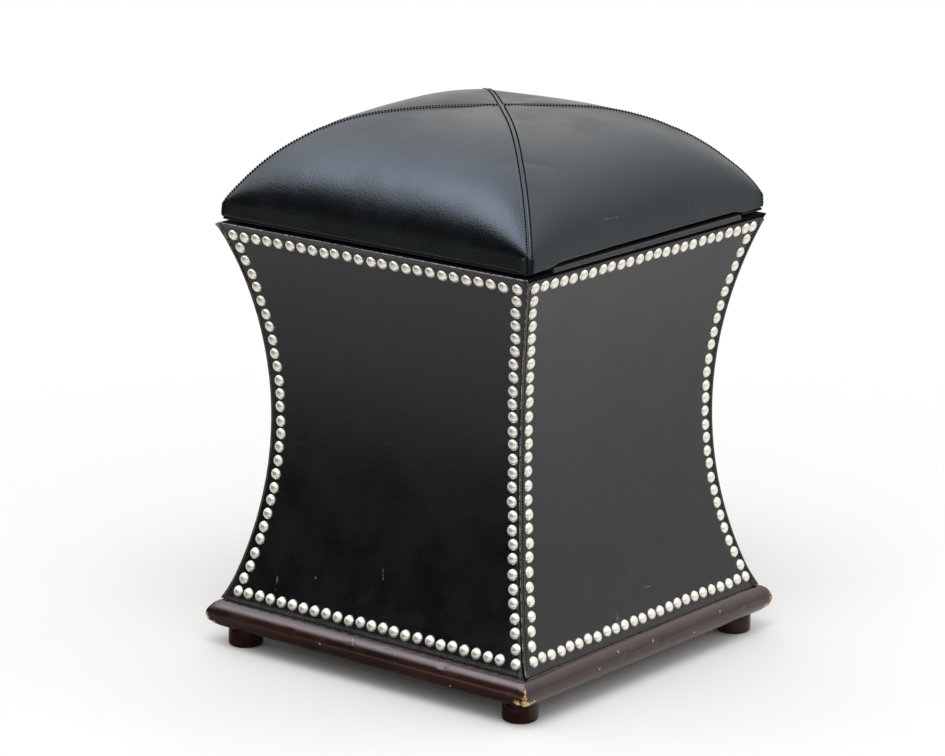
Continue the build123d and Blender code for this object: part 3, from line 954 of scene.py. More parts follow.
def gore_surface(crown, out, along):
    """Right-hand gore: out is the share of the way to the lid's edge, along runs between its seams."""
    u = np.repeat(out[:, None], len(along), axis=1)
    v = out[:, None] * along
    share = ((1 - u**DOME_SQUARENESS) * (1 - np.abs(v) ** DOME_SQUARENESS)).clip(0) ** DOME_FULLNESS
    return np.stack([lid_half * u, lid_half * v, board_high.z + crown * share], -1)


def outward_places(count):
    """Places from the lid's middle to its edge, crowded towards the edge."""
    return 1 - (1 - np.linspace(0, 1, count)) ** 3


def run_share(crown, out):
    """Share of the length of the gore's middle line at each place on the way out."""
    fine = outward_places(2001)
    line = gore_surface(crown, fine, np.zeros(1))[:, 0]
    length = np.concatenate([[0], np.linalg.norm(np.diff(line, axis=0), axis=1).cumsum()])
    return np.interp(out, fine, length / length[-1])


def spline_weights(count, places):
    """Matrix that spreads count even control values over places from 0 to 1 by a cubic spline."""
    at = np.clip(places, 0, 1) * (count - 1)
    first = np.minimum(at.astype(int), count - 2)
    t = at - first
    basis = ((1 - t) ** 3, 3 * t**3 - 6 * t**2 + 4, -3 * t**3 + 3 * t**2 + 3 * t + 1, t**3)
    weights = np.zeros((len(places), count))
    for offset, share in zip((-1, 0, 1, 2), basis):
        np.add.at(weights, (np.arange(len(places)), np.clip(first + offset, 0, count - 1)), share / 6)
    return weights


def let_down(points, out, along, swell):
    """Gore with its middle let down along its normals, ready to be filled."""
    room = (1 - along**4) * ((1 - out**6) * np.sqrt(out))[:, None]
    return points - grid_normals(points) * (swell * room)[..., None]


def blown_up(points, faces, held, settings):
    """Points after air has filled a cloth that is held at some of them."""
    mesh = bpy.data.meshes.new("cloth")
    mesh.from_pydata(points.tolist(), [], faces)
    cover = link("cloth", mesh)
    cover.vertex_groups.new(name="held").add(held, 1.0, "REPLACE")
    cloth = cover.modifiers.new("cloth", "CLOTH")
    cloth.settings.vertex_group_mass = "held"
    cloth.settings.quality = 8
    cloth.settings.tension_stiffness = LEATHER_STIFFNESS
    cloth.settings.compression_stiffness = LEATHER_STIFFNESS
    cloth.settings.bending_stiffness = BENDING_STIFFNESS
    cloth.settings.use_pressure = True
    cloth.settings.uniform_pressure_force = settings.pressure
    cloth.settings.effector_weights.gravity = 0
    cloth.point_cache.frame_start = 1
    cloth.point_cache.frame_end = settings.frames
    for step in range(1, settings.frames + 1):
        bpy.context.scene.frame_set(step)
    evaluated = cover.evaluated_get(bpy.context.evaluated_depsgraph_get())
    after = np.array([vertex.co[:] for vertex in evaluated.data.vertices])
    bpy.data.objects.remove(cover)
    bpy.data.meshes.remove(mesh)
    bpy.context.scene.frame_set(1)
    return after


def filled_gores(settings):
    """How far air moves the points of four let-down gores that are held at their seams and edge."""
    even = np.linspace(0, 1, 401)
    out = np.interp(np.linspace(0, 1, CLOTH_ROWS + 1), run_share(settings.crown, even), even)
    along = np.linspace(-1, 1, CLOTH_COLUMNS + 1)
    start = let_down(gore_surface(settings.crown, out, along), out, along, settings.swell)
    gores = np.stack([turned(start, quarter) for quarter in range(4)])
    points, rows, columns = ring_points(gores, (0, 0, board_high.z))
    index = 1 + np.arange(rows * columns).reshape(rows, columns)
    held = {0, len(points) - 1, *index[-1].tolist(), *index[:, ::CLOTH_COLUMNS].ravel().tolist()}
    moved = blown_up(points, ring_faces(rows, columns), sorted(held), settings) - points
    length = np.linalg.norm(moved, axis=1, keepdims=True)
    moved *= np.minimum(1, settings.reach / np.maximum(length, TINY))
    ring = moved[1:-1].reshape(rows, 4, CLOTH_COLUMNS, 3).transpose(1, 0, 2, 3)
    seams = np.zeros((4, rows, 1, 3))
    middle = np.zeros((4, 1, CLOTH_COLUMNS + 1, 3))
    return np.concatenate([middle, np.concatenate([ring, seams], axis=2)], axis=1)


def edge_rows():
    """Rows below the dome as (inset, level): upright edge, rounded lower edge, return, and board's seat."""
    upright = np.linspace(board_high.z, gore_low.z + EDGE_RADIUS, EDGE_ROWS + 1)[1:]
    rows = [(0.0, level) for level in upright]
    for angle in np.linspace(0, math.pi / 2, 6)[1:]:
        rows.append((EDGE_RADIUS * (1 - math.cos(angle)), gore_low.z + EDGE_RADIUS * (1 - math.sin(angle))))
    outside = len(rows)
    inset = lid_half - board_half
    rows += [(across, gore_low.z) for across in (8 * MM, LEATHER_RETURN)]
    rows += [(across, board_low.z) for across in (LEATHER_RETURN, inset)]
    rows += [(across, board_high.z) for across in (inset, 0.5 * lid_half, 0.97 * lid_half)]
    return np.array(rows), outside


def seam_relief(away, settings):
    """Height of a sewn seam over the leather, by the distance from its middle."""
    turning = smooth_step(away, settings.seam_half + 0.8 * MM, settings.seam_half - 0.4 * MM)
    groove = bell(away, 0, 0.50 * MM)
    furrow = bell(away, settings.stitch_row, 0.60 * MM)
    return SEAM_TURNING * turning - SEAM_GROOVE * groove - SEAM_FURROW * furrow


def lid_gores(settings):
    """Final points of the four gores, with rows from the middle over the edge to the board's seat."""
    out = outward_places(GORE_ROWS + 1)
    along = end_columns(GORE_COLUMNS, GORE_CROWDING)
    dome = let_down(gore_surface(settings.crown, out, along), out, along, settings.swell)
    down = spline_weights(CLOTH_ROWS + 1, run_share(settings.crown, out))
    across = spline_weights(CLOTH_COLUMNS + 1, (along + 1) / 2)
    air = filled_gores(settings)
    hold = ((1 - along**10) * (1 - out**16)[:, None])[..., None]
    below, outside = edge_rows()
    inset, level = below.T
    skirt = mitred_run(np.stack([lid_half - inset, level], -1), along).transpose(1, 0, 2)
    gores = []
    for quarter in range(4):
        moved = np.einsum("ir,rck,jc->ijk", down, air[quarter], across) * hold
        gore = np.concatenate([turned(dome, quarter) + moved, turned(skirt, quarter)])
        gores.append(dressed_gore(gore, quarter, out, along, outside, settings))
    return np.stack(gores)


def seam_normals(gore, quarter, along, away):
    """Normals of a gore, leant into the seams' upright planes close to its seams."""
    normals = grid_normals(gore)
    diagonal = math.radians(90 * quarter) + np.sign(along) * math.radians(45)
    flat = np.stack([np.cos(diagonal), np.sin(diagonal), np.zeros(len(along))], -1)
    in_plane = (normals * flat).sum(-1, keepdims=True) * flat + normals * (0, 0, 1)
    near = bell(away, 0, SEAM_REACH)[..., None]
    normals = normals * (1 - near) + in_plane * near
    return normals / np.maximum(np.linalg.norm(normals, axis=-1, keepdims=True), TINY)


def hinge_rise(gore, shown, settings):
    """How far the lower edge of the hinge's gore is lifted over the hinge."""
    over_hinge = smooth_step(np.abs(gore[..., 0]), hinge_half + 8 * MM, hinge_half - 12 * MM)
    rise = over_hinge * settings.hinge_lift * smooth_step(gore[..., 2], board_high.z, board_low.z)
    rise[shown + 1:] = 0
    return rise


def dressed_gore(gore, quarter, out, along, outside, settings):
    """Gore with its seams, pulled corners, creases and the rise of its edge over the hinge."""
    shown = len(out) + outside
    plan = turned(gore, (4 - quarter) % 4)
    reach = plan[:, len(along) // 2, 0]
    share = reach / lid_half
    corner = reach[:, None] * (1 - np.abs(along))
    away = corner / math.sqrt(2)
    from_tip = (2 * lid_half - plan[..., 0] - np.abs(plan[..., 1])) / math.sqrt(2)
    low = smooth_step(gore[..., 2], board_high.z + 3 * MM, gore_low.z + 2 * MM)

    def by_corner(values):
        return np.where(along > 0, values[quarter], values[quarter - 1])

    height = seam_relief(away, settings)
    height += by_corner(CORNER_EARS) * low * bell(corner, 0, 8 * MM)
    height -= by_corner(CORNER_TUCKS) * low * bell(away, 0, 2.2 * MM)
    crease = by_corner(CORNER_CREASES) * bell(from_tip, CREASE_FROM_TIP, CREASE_WIDTH)
    height -= CREASE_DEPTH * crease * smooth_step(away, 55 * MM, 10 * MM)
    height += COVER_RIPPLE * noise_field(gore, 17.0) + COVER_FINE_RIPPLE * noise_field(gore, 60.0, 3.0)
    height[shown:] = 0
    gore = gore + seam_normals(gore, quarter, along, away) * height[..., None]

    hip = smooth_step(share, 0.30, 0.70) * smooth_step(share, 0.98, 0.82)
    fill = GORE_FILL[quarter] * smooth_step(share, 0.0, 0.35) * smooth_step(share, 0.95, 0.45)
    sway = 1 - share**3
    for amount in (hip, fill, sway):
        amount[len(out):] = 0
    gore[..., 2] += fill[:, None] * (1 - along**2)
    gore[..., 2] += hip[:, None] * by_corner(CORNER_HIPS) * bell(away, 0, 30 * MM)
    gore[..., :2] += sway[:, None, None] * COVER_SWAY
    gore[:shown, :, 1] += by_corner((CORNER_PULL, 0, 0, 0)) * bell(from_tip[:shown], 0, 70 * MM)
    droop = by_corner(CORNER_DROOPS) * bell(corner, 0, 12 * MM) * low
    droop[shown:] = 0
    gore[..., 2] -= droop
    if SIDES[quarter] == "back":
        gore[..., 2] += hinge_rise(gore, shown, settings)
    return gore


def gore_line(gore, away, sign):
    """Line just over a gore, at a distance from one of its seams, from near the middle to the lower edge."""
    along = end_columns(GORE_COLUMNS, GORE_CROWDING)
    line = []
    for row in (gore + STITCH_LIFT * grid_normals(gore))[: GORE_ROWS + 1 + EDGE_ROWS]:
        reach = np.linalg.norm(row[-1, :2] - row[0, :2]) / 2
        place = 1 - away * math.sqrt(2) / max(reach, TINY)
        if place > 0.05:
            line.append([np.interp(sign * place, along, row[:, axis]) for axis in range(3)])
    return np.array(line)


def lid_marks(points):
    """Wear at the lid's corners, and the painted shade in the folds at the near and the far one, at each
    point.
    """
    plan = np.abs(points[:, :2])
    tip = np.hypot(lid_half - plan[:, 0], lid_half - plan[:, 1])
    wear = 0.6 * bell(tip, 2 * MM, 7 * MM) * bell(points[:, 2], board_high.z + 2 * MM, 5 * MM)
    beside = np.abs(points[:, 0] - points[:, 1] + CORNER_PULL)
    tuck = smooth_step(tip, 12 * MM, 9 * MM) * smooth_step(beside, 8.5 * MM, 5.5 * MM)
    tuck *= smooth_step(points[:, 2], board_high.z + 2.5 * MM, board_high.z - 1.5 * MM)
    return {"wear": wear, "tuck": tuck}


class STOOL_OT_lid_cushion(bpy.types.Operator):
    """Fill the lid's four gores with air and sew them into one cushion"""

    bl_idname = "stool.lid_cushion"
    bl_label = "Lid cushion"

    def execute(self, context):
        settings = context.scene.stool_lid
        gores = lid_gores(settings)
        points, rows, columns = ring_points(gores, (0, 0, board_high.z))
        leather = lid_leather(tuple(settings.colour))
        cushion = add_piece("lid_cushion", points, ring_faces(rows, columns), leather, lid_marks(points))
        covers = ["lid_cover_" + side for side in SIDES]
        seat(cushion, "lid", "black_leather", "lid_padding", *covers)
        lines = [gore_line(gore, settings.stitch_row, sign) for gore in gores for sign in (-1, 1)]
        stitches = sew("lid_seam_stitches", lines, settings, black_thread())
        seat(stitches, "lid", "black_leather")
        finish_node("lid_board", painted("sealed_board", SEALED_BOARD, 0.55))
        finish_node("lid_dust_cover", woven("dust_cloth", DUST_CLOTH))
        return {"FINISHED"}


# Sides

skin_half = skin_high.x
waist_half = skin_low.x + LEATHER
waist_level = (skin_low.z + skin_high.z) / 2
side_height = skin_high.z - skin_low.z
side_hollow = skin_half - waist_half
side_radius = ((side_height / 2) ** 2 + side_hollow**2) / (2 * side_hollow)
SIDE_ROWS = 200
SIDE_COLUMNS = 180
SIDE_CROWDING = 1.35
HEMMED = ("back", "front")  # the sides whose turned ends lie over their neighbours
HEM_STITCH = 1.6 * MM  # from a hem's edge to its stitches
HEM_FURROW = 0.45 * MM
HEM_BLUNT = 0.5 * MM
BORDER_RISES = (0.35 * MM, 0.40 * MM)  # of the top and the bottom border
BORDER_GROOVES = (0.55 * MM, 0.50 * MM)
BORDER_GROOVE_WIDTHS = (0.55 * MM, 0.60 * MM)
SIDE_RIPPLE = 0.30 * MM
DENT_REACH = 7.5 * MM
DENT_LIMIT = 22 * MM  # no dent is felt past this height over or under its nail
HEAD_SEGMENTS = 12
TOP_ROUND = 3.5 * MM
LIP_RISE = 2.8 * MM  # how far the leather stands up round the rim, save on the hinge's side
LIP_ROUND = 0.8 * MM
# Nails nearer than COLUMN_OUTSIDE to a side's end stray with its column; those past COLUMN_INSIDE don't
COLUMN_INSIDE = 26 * MM
COLUMN_OUTSIDE = 18 * MM
# Nails lower than LOW_ROW_BELOW over a side's foot stray with the lowest row; those past LOW_ROW_ABOVE don't
LOW_ROW_ABOVE = 20 * MM
LOW_ROW_BELOW = 15 * MM
LOW_ROW_STRAY = 2.6 * MM
# How far a side's two columns of nails stray along it at the foot, the waist and the top
NAIL_STRAY = (
    ((0.0, 0.0, 0.0), (4.3 * MM, 4.8 * MM, 1.9 * MM)),
    ((3.3 * MM, 1.6 * MM, -1.2 * MM), (3.2 * MM, 0.0, -2.4 * MM)),
)


def side_out(level, depth=0.0):
    """Half width, at a level, of the surface that lies a depth inside the leather's face."""
    return waist_half + side_radius - np.sqrt((side_radius + depth) ** 2 - (level - waist_level) ** 2)


def lip_height(side):
    """How far a side's leather stands up round the rim."""
    return 0.0 if side == "back" else LIP_RISE


def side_section(fold_depth, lip):
    """Closed upright section of a side's leather, and how many of its points lie on the outer face."""
    bend = LIP_ROUND if lip else TOP_ROUND
    arc = math.pi if lip else math.pi / 2
    top = skin_high.z + lip
    face = np.linspace(skin_low.z, top - bend, SIDE_ROWS)
    outer = np.stack([side_out(face), face], -1)
    turns = np.linspace(0, arc, 9)[1:]
    middle = side_out(top - bend) - bend
    over = np.stack([middle + bend * np.cos(turns), top - bend * (1 - np.sin(turns))], -1)
    inner_top = side_out(skin_high.z, fold_depth)
    under = skin_high.z - LEATHER
    back = np.linspace(under, skin_low.z, 40)
    fold = [(over[-1, 0] - 0.1 * MM, skin_high.z), (inner_top, skin_high.z), (inner_top, under)]
    inner = np.stack([side_out(back, LEATHER), back], -1)
    return np.concatenate([outer, over, fold, inner]), SIDE_ROWS + len(over)


def end_relief(side, end, up, down, settings):
    """Height at a side's ends: a turned hem that spreads at its top and foot, or a groove beside one."""
    if side not in HEMMED:
        return -settings.groove * smooth_step(end, 4.4 * MM, 2.8 * MM)
    hem = settings.hem_rise * smooth_step(end, settings.hem_width + 0.9 * MM, settings.hem_width)
    hem -= HEM_FURROW * bell(end, settings.hem_width - HEM_STITCH, 0.55 * MM)
    hem -= HEM_BLUNT * (1 - end / (1.2 * MM)).clip(0) ** 2
    spread = bell(up, 0, 14 * MM)
    if side == "front":
        spread = spread + bell(down, 0, 32 * MM) + 0.8 * bell(down, 0, 6 * MM)
    return hem + settings.hem_flare * spread * smooth_step(end, 10 * MM, 0)


def border_relief(up, down, settings):
    """Height of the turned borders along a side's top and foot."""
    height = 0.0
    borders = zip((down, up), BORDER_RISES, BORDER_GROOVES, BORDER_GROOVE_WIDTHS)
    for away, rise, groove, width in borders:
        height = height + rise * smooth_step(away, settings.border + 0.5 * MM, settings.border)
        height = height - groove * bell(away, settings.border + 0.7 * MM, width)
    return height


def nail_dents(points, feet, depth):
    """How far nails at these feet press the leather in at each point."""
    dents = np.zeros(points.shape[:-1])
    for foot in feet:
        close = np.abs(points[..., 2] - foot[2]) < DENT_LIMIT
        away = np.linalg.norm(points[close] - foot, axis=-1)
        dents[close] = np.maximum(dents[close], bell(away, 0, DENT_REACH))
    return dents * depth


def hem_line(points, out, columns, hand, inset):
    """Line on a side's face that keeps an inset from one of its ends."""
    line = []
    for row in range(4, SIDE_ROWS - 3):
        place = hand * (1 - inset / out[row])
        line.append([np.interp(place, columns, points[:, row, axis]) for axis in range(3)])
    return np.array(line)


def side_marks(side, end, down, outer):
    """Rubbing along a side's edges, along the top edge partly a painted highlight, and the raw cut at the
    front's ends, at each point.
    """
    wear = (0.86 if side in HEMMED else 0.2) * bell(end, 0, 1.4 * MM)
    # Along the top edge the pale rub partly paints a highlight on the rolled edge
    wear += (0.85 if lip_height(side) else 0.55) * bell(down, 0, 1.1 * MM)
    wear[:, outer:] = 0
    raw = np.zeros_like(wear)
    if side == "front":
        raw[[0, -1]] = 0.35 + 0.65 * bell(down[[0, -1]], 0, 22 * MM)
    return {"wear": wear, "raw": raw}


def side_skin(side, settings, material):
    """One side's leather as a closed skin, and the lines of its hems' stitches."""
    quarter = SIDES.index(side)
    lip = lip_height(side)
    section, outer = side_section(settings.fold_depth, lip)
    columns = end_columns(SIDE_COLUMNS, SIDE_CROWDING)
    points = mitred_run(section, columns)
    out = points[..., 0]
    end = (1 - np.abs(columns))[:, None] * out
    up, down = points[..., 2] - skin_low.z, skin_high.z + lip - points[..., 2]
    slope = (points[..., 2] - waist_level) / side_radius
    normals = np.stack([np.sqrt(1 - slope**2), np.zeros_like(out), -slope], -1)
    height = end_relief(side, end, up, down, settings) + border_relief(up, down, settings)
    feet, _ = nail_seats(side)
    height -= nail_dents(points, turned(feet, (4 - quarter) % 4), settings.dimple)
    ripple = SIDE_RIPPLE * noise_field(turned(points, quarter), 14.0, 5.0)
    height += ripple * smooth_step(end, 0, 20 * MM)
    height[:, outer:] = 0
    height[:, SIDE_ROWS:outer] *= 0.3
    points = points + normals * height[..., None]
    faces = loop_faces(len(columns), len(section))
    marks = side_marks(side, end, down, outer)
    skin = add_piece("side_leather_" + side, turned(points, quarter), faces, material, marks)
    inset = settings.hem_width - HEM_STITCH
    hands = (-1, 1) if side in HEMMED else ()
    return skin, [turned(hem_line(points, out[0], columns, hand, inset), quarter) for hand in hands]


class STOOL_OT_side_leather(bpy.types.Operator):
    """Cover the four waisted sides with leather, hemmed and stitched at the corners"""

    bl_idname = "stool.side_leather"
    bl_label = "Side leather"

    def execute(self, context):
        settings = context.scene.stool_side
        material = side_leather(tuple(settings.colour))
        lines = []
        for side in SIDES:
            skin, hem_lines = side_skin(side, settings, material)
            seat(skin, "box", "black_leather", "leather_panel_" + side)
            lines += hem_lines
        stitches = sew("hem_stitches", lines, context.scene.stool_lid, bpy.data.materials["black_thread"])
        seat(stitches, "box", "black_leather")
        return {"FINISHED"}


class STOOL_OT_nails(bpy.types.Operator):
    """Set a polished domed head on each nail's seat"""

    bl_idname = "stool.nails"
    bl_label = "Nails"

    def execute(self, context):
        settings = context.scene.stool_side
        material = nickel_plate(tuple(settings.nail_colour))
        radius, rise = settings.nail_radius, settings.nail_rise
        profile = [(0.0, rise)]
        for share in (0.36, 0.68, 0.90):
            profile.append((radius * share, rise * math.sqrt(1 - share**2)))
        profile += [(radius, 0.12 * rise), (0.97 * radius, -settings.dimple), (0.0, -settings.dimple)]
        for side in SIDES:
            feet, directions = nail_seats(side)
            head = lathe("nail_head", profile, HEAD_SEGMENTS)
            nails = grow_heads(
                "nail_heads_" + side, head, feet - directions * settings.dimple, directions,
                Wander=settings.nail_wander, Tilt=0.05, Seed=SIDES.index(side) + 3, Material=material,
            )
            seat(nails, "box", "nickel", "nails_" + side)
        return {"FINISHED"}


# Base

RAIL_COLUMNS = 120
RAIL_CROWDING = 1.6
RAIL_WAVE = 0.16 * MM
RAIL_DENT = 0.9 * MM
RAIL_BLUNT = 1.6 * MM  # how far a corner is knocked back
RAIL_BLUNT_REACH = 9 * MM
FOOT_ROUND = 2.6 * MM
FOOT_SEGMENTS = 64
FOOT_SHARP_ANGLE = math.radians(50)
rail_nose = (rail_high.z - rail_low.z) / 2
rail_front = rail_high.x - rail_nose


def rail_section():
    """Closed section of a bullnose rail, from its inner lower corner round the nose."""
    turns = np.linspace(-math.pi / 2, math.pi / 2, 33)
    level = rail_low.z + rail_nose + rail_nose * np.sin(turns)
    round_part = np.stack([rail_front + rail_nose * np.cos(turns), level], -1)
    flat = np.linspace(rail_low.x, rail_front, 6)[:-1]
    lower = np.stack([flat, np.full(len(flat), rail_low.z)], -1)
    upper = np.stack([flat[::-1], np.full(len(flat), rail_high.z)], -1)
    return np.concatenate([lower, round_part, upper])


def worn_rail(points, columns, quarter):
    """Points of a right-hand rail with dents and blunted corners, turned to its side."""
    out = points[..., 0]
    tip = (1 - np.abs(columns))[:, None] * out
    height = points[..., 2] - rail_low.z - rail_nose
    normals = np.stack([(out - rail_front).clip(0), np.zeros_like(out), height], -1) / rail_nose
    placed = turned(points, quarter)
    dents = RAIL_WAVE * noise_field(placed, 45.0, 7.0)
    dents -= RAIL_DENT * smooth_step(noise_field(placed, 95.0, 2.0), 0.42, 0.62)
    uneven = 0.7 + 0.6 * noise_field(placed, 160.0, 9.0)
    dents -= RAIL_BLUNT * (1 - tip / RAIL_BLUNT_REACH).clip(0) ** 2 * uneven
    dents *= (out > rail_front + 1 * MM) * smooth_step(rail_nose - height, 0.3 * MM, 5 * MM)
    return turned(points + normals * dents[..., None], quarter)


def foot_profile():
    """Half outline of a foot as (radius, height), rounded at the floor and eased at its top."""
    radius, top = (foot_high.x - foot_low.x) / 2, rail_low.z
    profile = [(0.0, 0.0)]
    for angle in np.linspace(0, math.pi / 2, 5):
        profile.append((radius - FOOT_ROUND * (1 - math.sin(angle)), FOOT_ROUND * (1 - math.cos(angle))))
    profile += [(radius + 0.1 * MM, 0.5 * top), (radius, top - 0.6 * MM)]
    return profile + [(radius - 0.4 * MM, top), (0.0, top)]


class STOOL_OT_base(bpy.types.Operator):
    """Build the worn bullnose base and its turned feet"""

    bl_idname = "stool.base"
    bl_label = "Base and feet"

    def execute(self, context):
        wood = context.scene.stool_wood
        along_y = stained_wood("mahogany_stain_y", wood, math.radians(90))
        along_x = stained_wood("mahogany_stain_x", wood, 0.0)
        section = rail_section()
        columns = end_columns(RAIL_COLUMNS, RAIL_CROWDING)
        faces = loop_faces(len(columns), len(section))
        for quarter, side in enumerate(SIDES):
            points = worn_rail(mitred_run(section, columns), columns, quarter)
            rail = add_piece("base_moulding_" + side, points, faces, along_x if quarter % 2 else along_y)
            seat(rail, "box", "stained_wood", "base_rail_" + side)
        # The feet's stain is darkened as painted shade, since they stand in the shade of the base
        self.feet(stained_wood("foot_stain", wood, math.radians(90), gloss=0.2, depth=0.9))
        return {"FINISHED"}

    def feet(self, material):
        """Turned pucks with softened edges, each where its CAD foot stands."""
        for node in [f"foot_{depth}_{hand}" for depth in ("front", "back") for hand in ("left", "right")]:
            low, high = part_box(node)
            mesh = lathe(f"turned_{node}", foot_profile(), FOOT_SEGMENTS)
            mesh.transform(Matrix.Translation(((low.x + high.x) / 2, (low.y + high.y) / 2, 0)))
            mesh.set_sharp_from_angle(angle=FOOT_SHARP_ANGLE)
            mesh.materials.append(material)
            seat(link(mesh.name, mesh), "box", "stained_wood", node)


# Inside and hinge

LINING = 0.9 * MM
LINING_RIPPLE = 0.35 * MM
FLOOR_RIPPLE = 0.25 * MM
FLOOR_CELLS = 50
# Shares of a screw head's radius and rise, from the bottom of its socket over the dome to its foot
SCREW_PROFILE = (
    (0.0, 0.35), (0.16, 0.4), (0.30, 0.97), (0.62, 0.90), (0.90, 0.55), (1.0, 0.05), (1.0, 0.0), (0.0, 0.0),
)


def lining_section():
    """Closed section of a side's lining, from its floor to under the rim."""
    levels = np.linspace(lining_low.z, lining_high.z, 60)
    rise = max(abs(lining_low.z - waist_level), abs(lining_high.z - waist_level))
    reach = waist_half + side_radius - lining_high.x
    depth = math.hypot(reach, rise) - side_radius
    outer = np.stack([side_out(levels, depth), levels], -1)
    inner = np.stack([side_out(levels, depth + LINING), levels], -1)
    return np.concatenate([outer, inner[::-1]]), len(levels)


class STOOL_OT_inside(bpy.types.Operator):
    """Line the box with black cloth and finish its rim, pads and boards"""

    bl_idname = "stool.inside"
    bl_label = "Inside"

    def execute(self, context):
        cloth = woven("lining_cloth", LINING_CLOTH, "metres")
        for side in SIDES:
            self.wall(side, cloth)
        self.floor(cloth)
        # The rim is partly black paint and partly painted shade in the gap under the lid
        shaded_rim_paint = {"colour": RIM_BLACK_AND_GAP_SHADE, "rough": 0.8, "gloss": 0.05, "dusty": 0.05}
        rim = (painted("rim_paint_y", turn=math.radians(90), **shaded_rim_paint), painted("rim_paint_x", **shaded_rim_paint))
        board = raw_board("box_plywood", PLYWOOD)
        for quarter, side in enumerate(SIDES):
            finish_node("rim_rail_" + side, rim[quarter % 2])
            finish_node("side_panel_" + side, board)
        # The floor panel's near-black colour is painted shade under the stool
        finish_node("floor_panel", painted("underside_stain", UNDERSIDE_SHADE, 0.7))
        finish_node("lid_bumpers", felted("bumper_felt", FELT))
        return {"FINISHED"}

    def wall(self, side, cloth):
        """Cloth on one side's panel, a little uneven."""
        quarter = SIDES.index(side)
        section, face = lining_section()
        columns = np.linspace(-1, 1, 80)
        run = np.concatenate([[0], np.linalg.norm(np.diff(section, axis=0), axis=1).cumsum()])
        points = mitred_run(section, columns)
        ripple = LINING_RIPPLE * noise_field(turned(points, quarter), 20.0, 11.0)
        ripple[:, :face] = 0
        points[..., 0] -= np.abs(ripple * (1 - columns**8)[:, None])
        uv = np.stack(np.broadcast_arrays(points[..., 1], run), -1)
        faces = loop_faces(len(columns), len(section))
        lining = add_piece("box_lining_" + side, turned(points, quarter), faces, cloth, uv=uv)
        seat(lining, "box", "lining_cloth", "lining_" + side)

    def floor(self, cloth):
        """Cloth on the box's floor, a little uneven."""
        half, count = floor_high.x, FLOOR_CELLS + 1
        line = np.linspace(-half, half, count)
        x, y = np.meshgrid(line, line, indexing="ij")
        top, bottom = (np.stack([x, y, np.full_like(x, level)], -1) for level in (floor_high.z, floor_low.z))
        top[..., 2] += FLOOR_RIPPLE * (noise_field(top, 25.0, 4.0) - 1)
        index = np.arange(count**2).reshape(count, count)
        quads = np.stack([index[:-1, :-1], index[1:, :-1], index[1:, 1:], index[:-1, 1:]], -1).reshape(-1, 4)
        rim = np.concatenate([index[0, :-1], index[:-1, -1], index[-1, :0:-1], index[:0:-1, 0]])
        after, under = np.roll(rim, -1), index.size
        walls = np.stack([rim, after, after + under, rim + under], -1)
        faces = quads.tolist() + (quads + under).tolist() + walls.tolist()
        points = np.stack([top, bottom])
        lining = add_piece("floor_cloth", points, faces, cloth, uv=points[..., :2])
        seat(lining, "box", "lining_cloth", "floor_lining")


def screw_seats(node, facing):
    """Feet of a leaf's screw heads, with the heads' radius and rise."""
    places, radius, rise = [], 0.0, 0.0
    for corners in islands(node):
        head = corners[np.argsort(corners[:, 2] * facing)][-8:]
        low, high = head.min(axis=0), head.max(axis=0)
        radius = (high[0] - low[0]) / 2
        collar = corners[np.hypot(*(corners - head.mean(axis=0))[:, :2].T) > 0.8 * radius]
        rise = np.ptp(collar[:, 2])
        places.append(head.mean(axis=0) - (0, 0, facing * rise))
    return np.array(places), radius, rise


class STOOL_OT_hinge(bpy.types.Operator):
    """Finish the continuous hinge and set its screws"""

    bl_idname = "stool.hinge"
    bl_label = "Hinge"

    def execute(self, context):
        steel = painted("black_steel", BLACK_STEEL, 0.32)
        for node in ("hinge_box_leaf", "hinge_lid_leaf", "hinge_pin"):
            finish_node(node, steel)
        for body, facing in (("box", 1), ("lid", -1)):
            node = f"hinge_{body}_screws"
            places, radius, rise = screw_seats(node, facing)
            directions = np.tile((0.0, 0.0, float(facing)), (len(places), 1))
            profile = [(radius * out, rise * up) for out, up in SCREW_PROFILE]
            screws = grow_heads(
                f"{body}_leaf_screws", lathe("screw_head", profile, HEAD_SEGMENTS), places, directions,
                Wander=0.0, Tilt=0.03, Seed=facing + 5, Material=steel,
            )
            seat(screws, body, "black_steel", node)
        return {"FINISHED"}


# Stage

DARK_SIDE = -36  # degrees from +X to the unlit end of the room
CAMERA_SIDE = 38  # degrees from +X to the dim strip behind the camera
# Azimuth, elevation and brightness of the windows that the leather mirrors
WINDOWS = ((-90, 55, (2.35, 2.50, 2.90, 1.0)), (-46, 56, (5.0, 5.2, 6.0, 1.0)))
WALL = (0.78, 0.78, 0.78, 1.0)
CEILING = (2.10, 2.10, 2.12, 1.0)
UNLIT = (0.03, 0.03, 0.03, 1.0)
LOW_GLOW = (0.60, 0.60, 0.60, 1.0)
FLOOR_GLOW = (1.15, 1.12, 1.06, 1.0)
EVEN_LIGHT = (0.86, 0.855, 0.845, 1.0)
DIM_LIGHT = (0.10, 0.10, 0.10, 1.0)
BACKDROP = (1.0, 1.0, 1.0, 1.0)
MIRRORED_SHADE = (0.08, 0.07, 0.065, 1.0)  # the floor before the right side, as the varnish mirrors it
SENSOR = 36  # width in millimetres


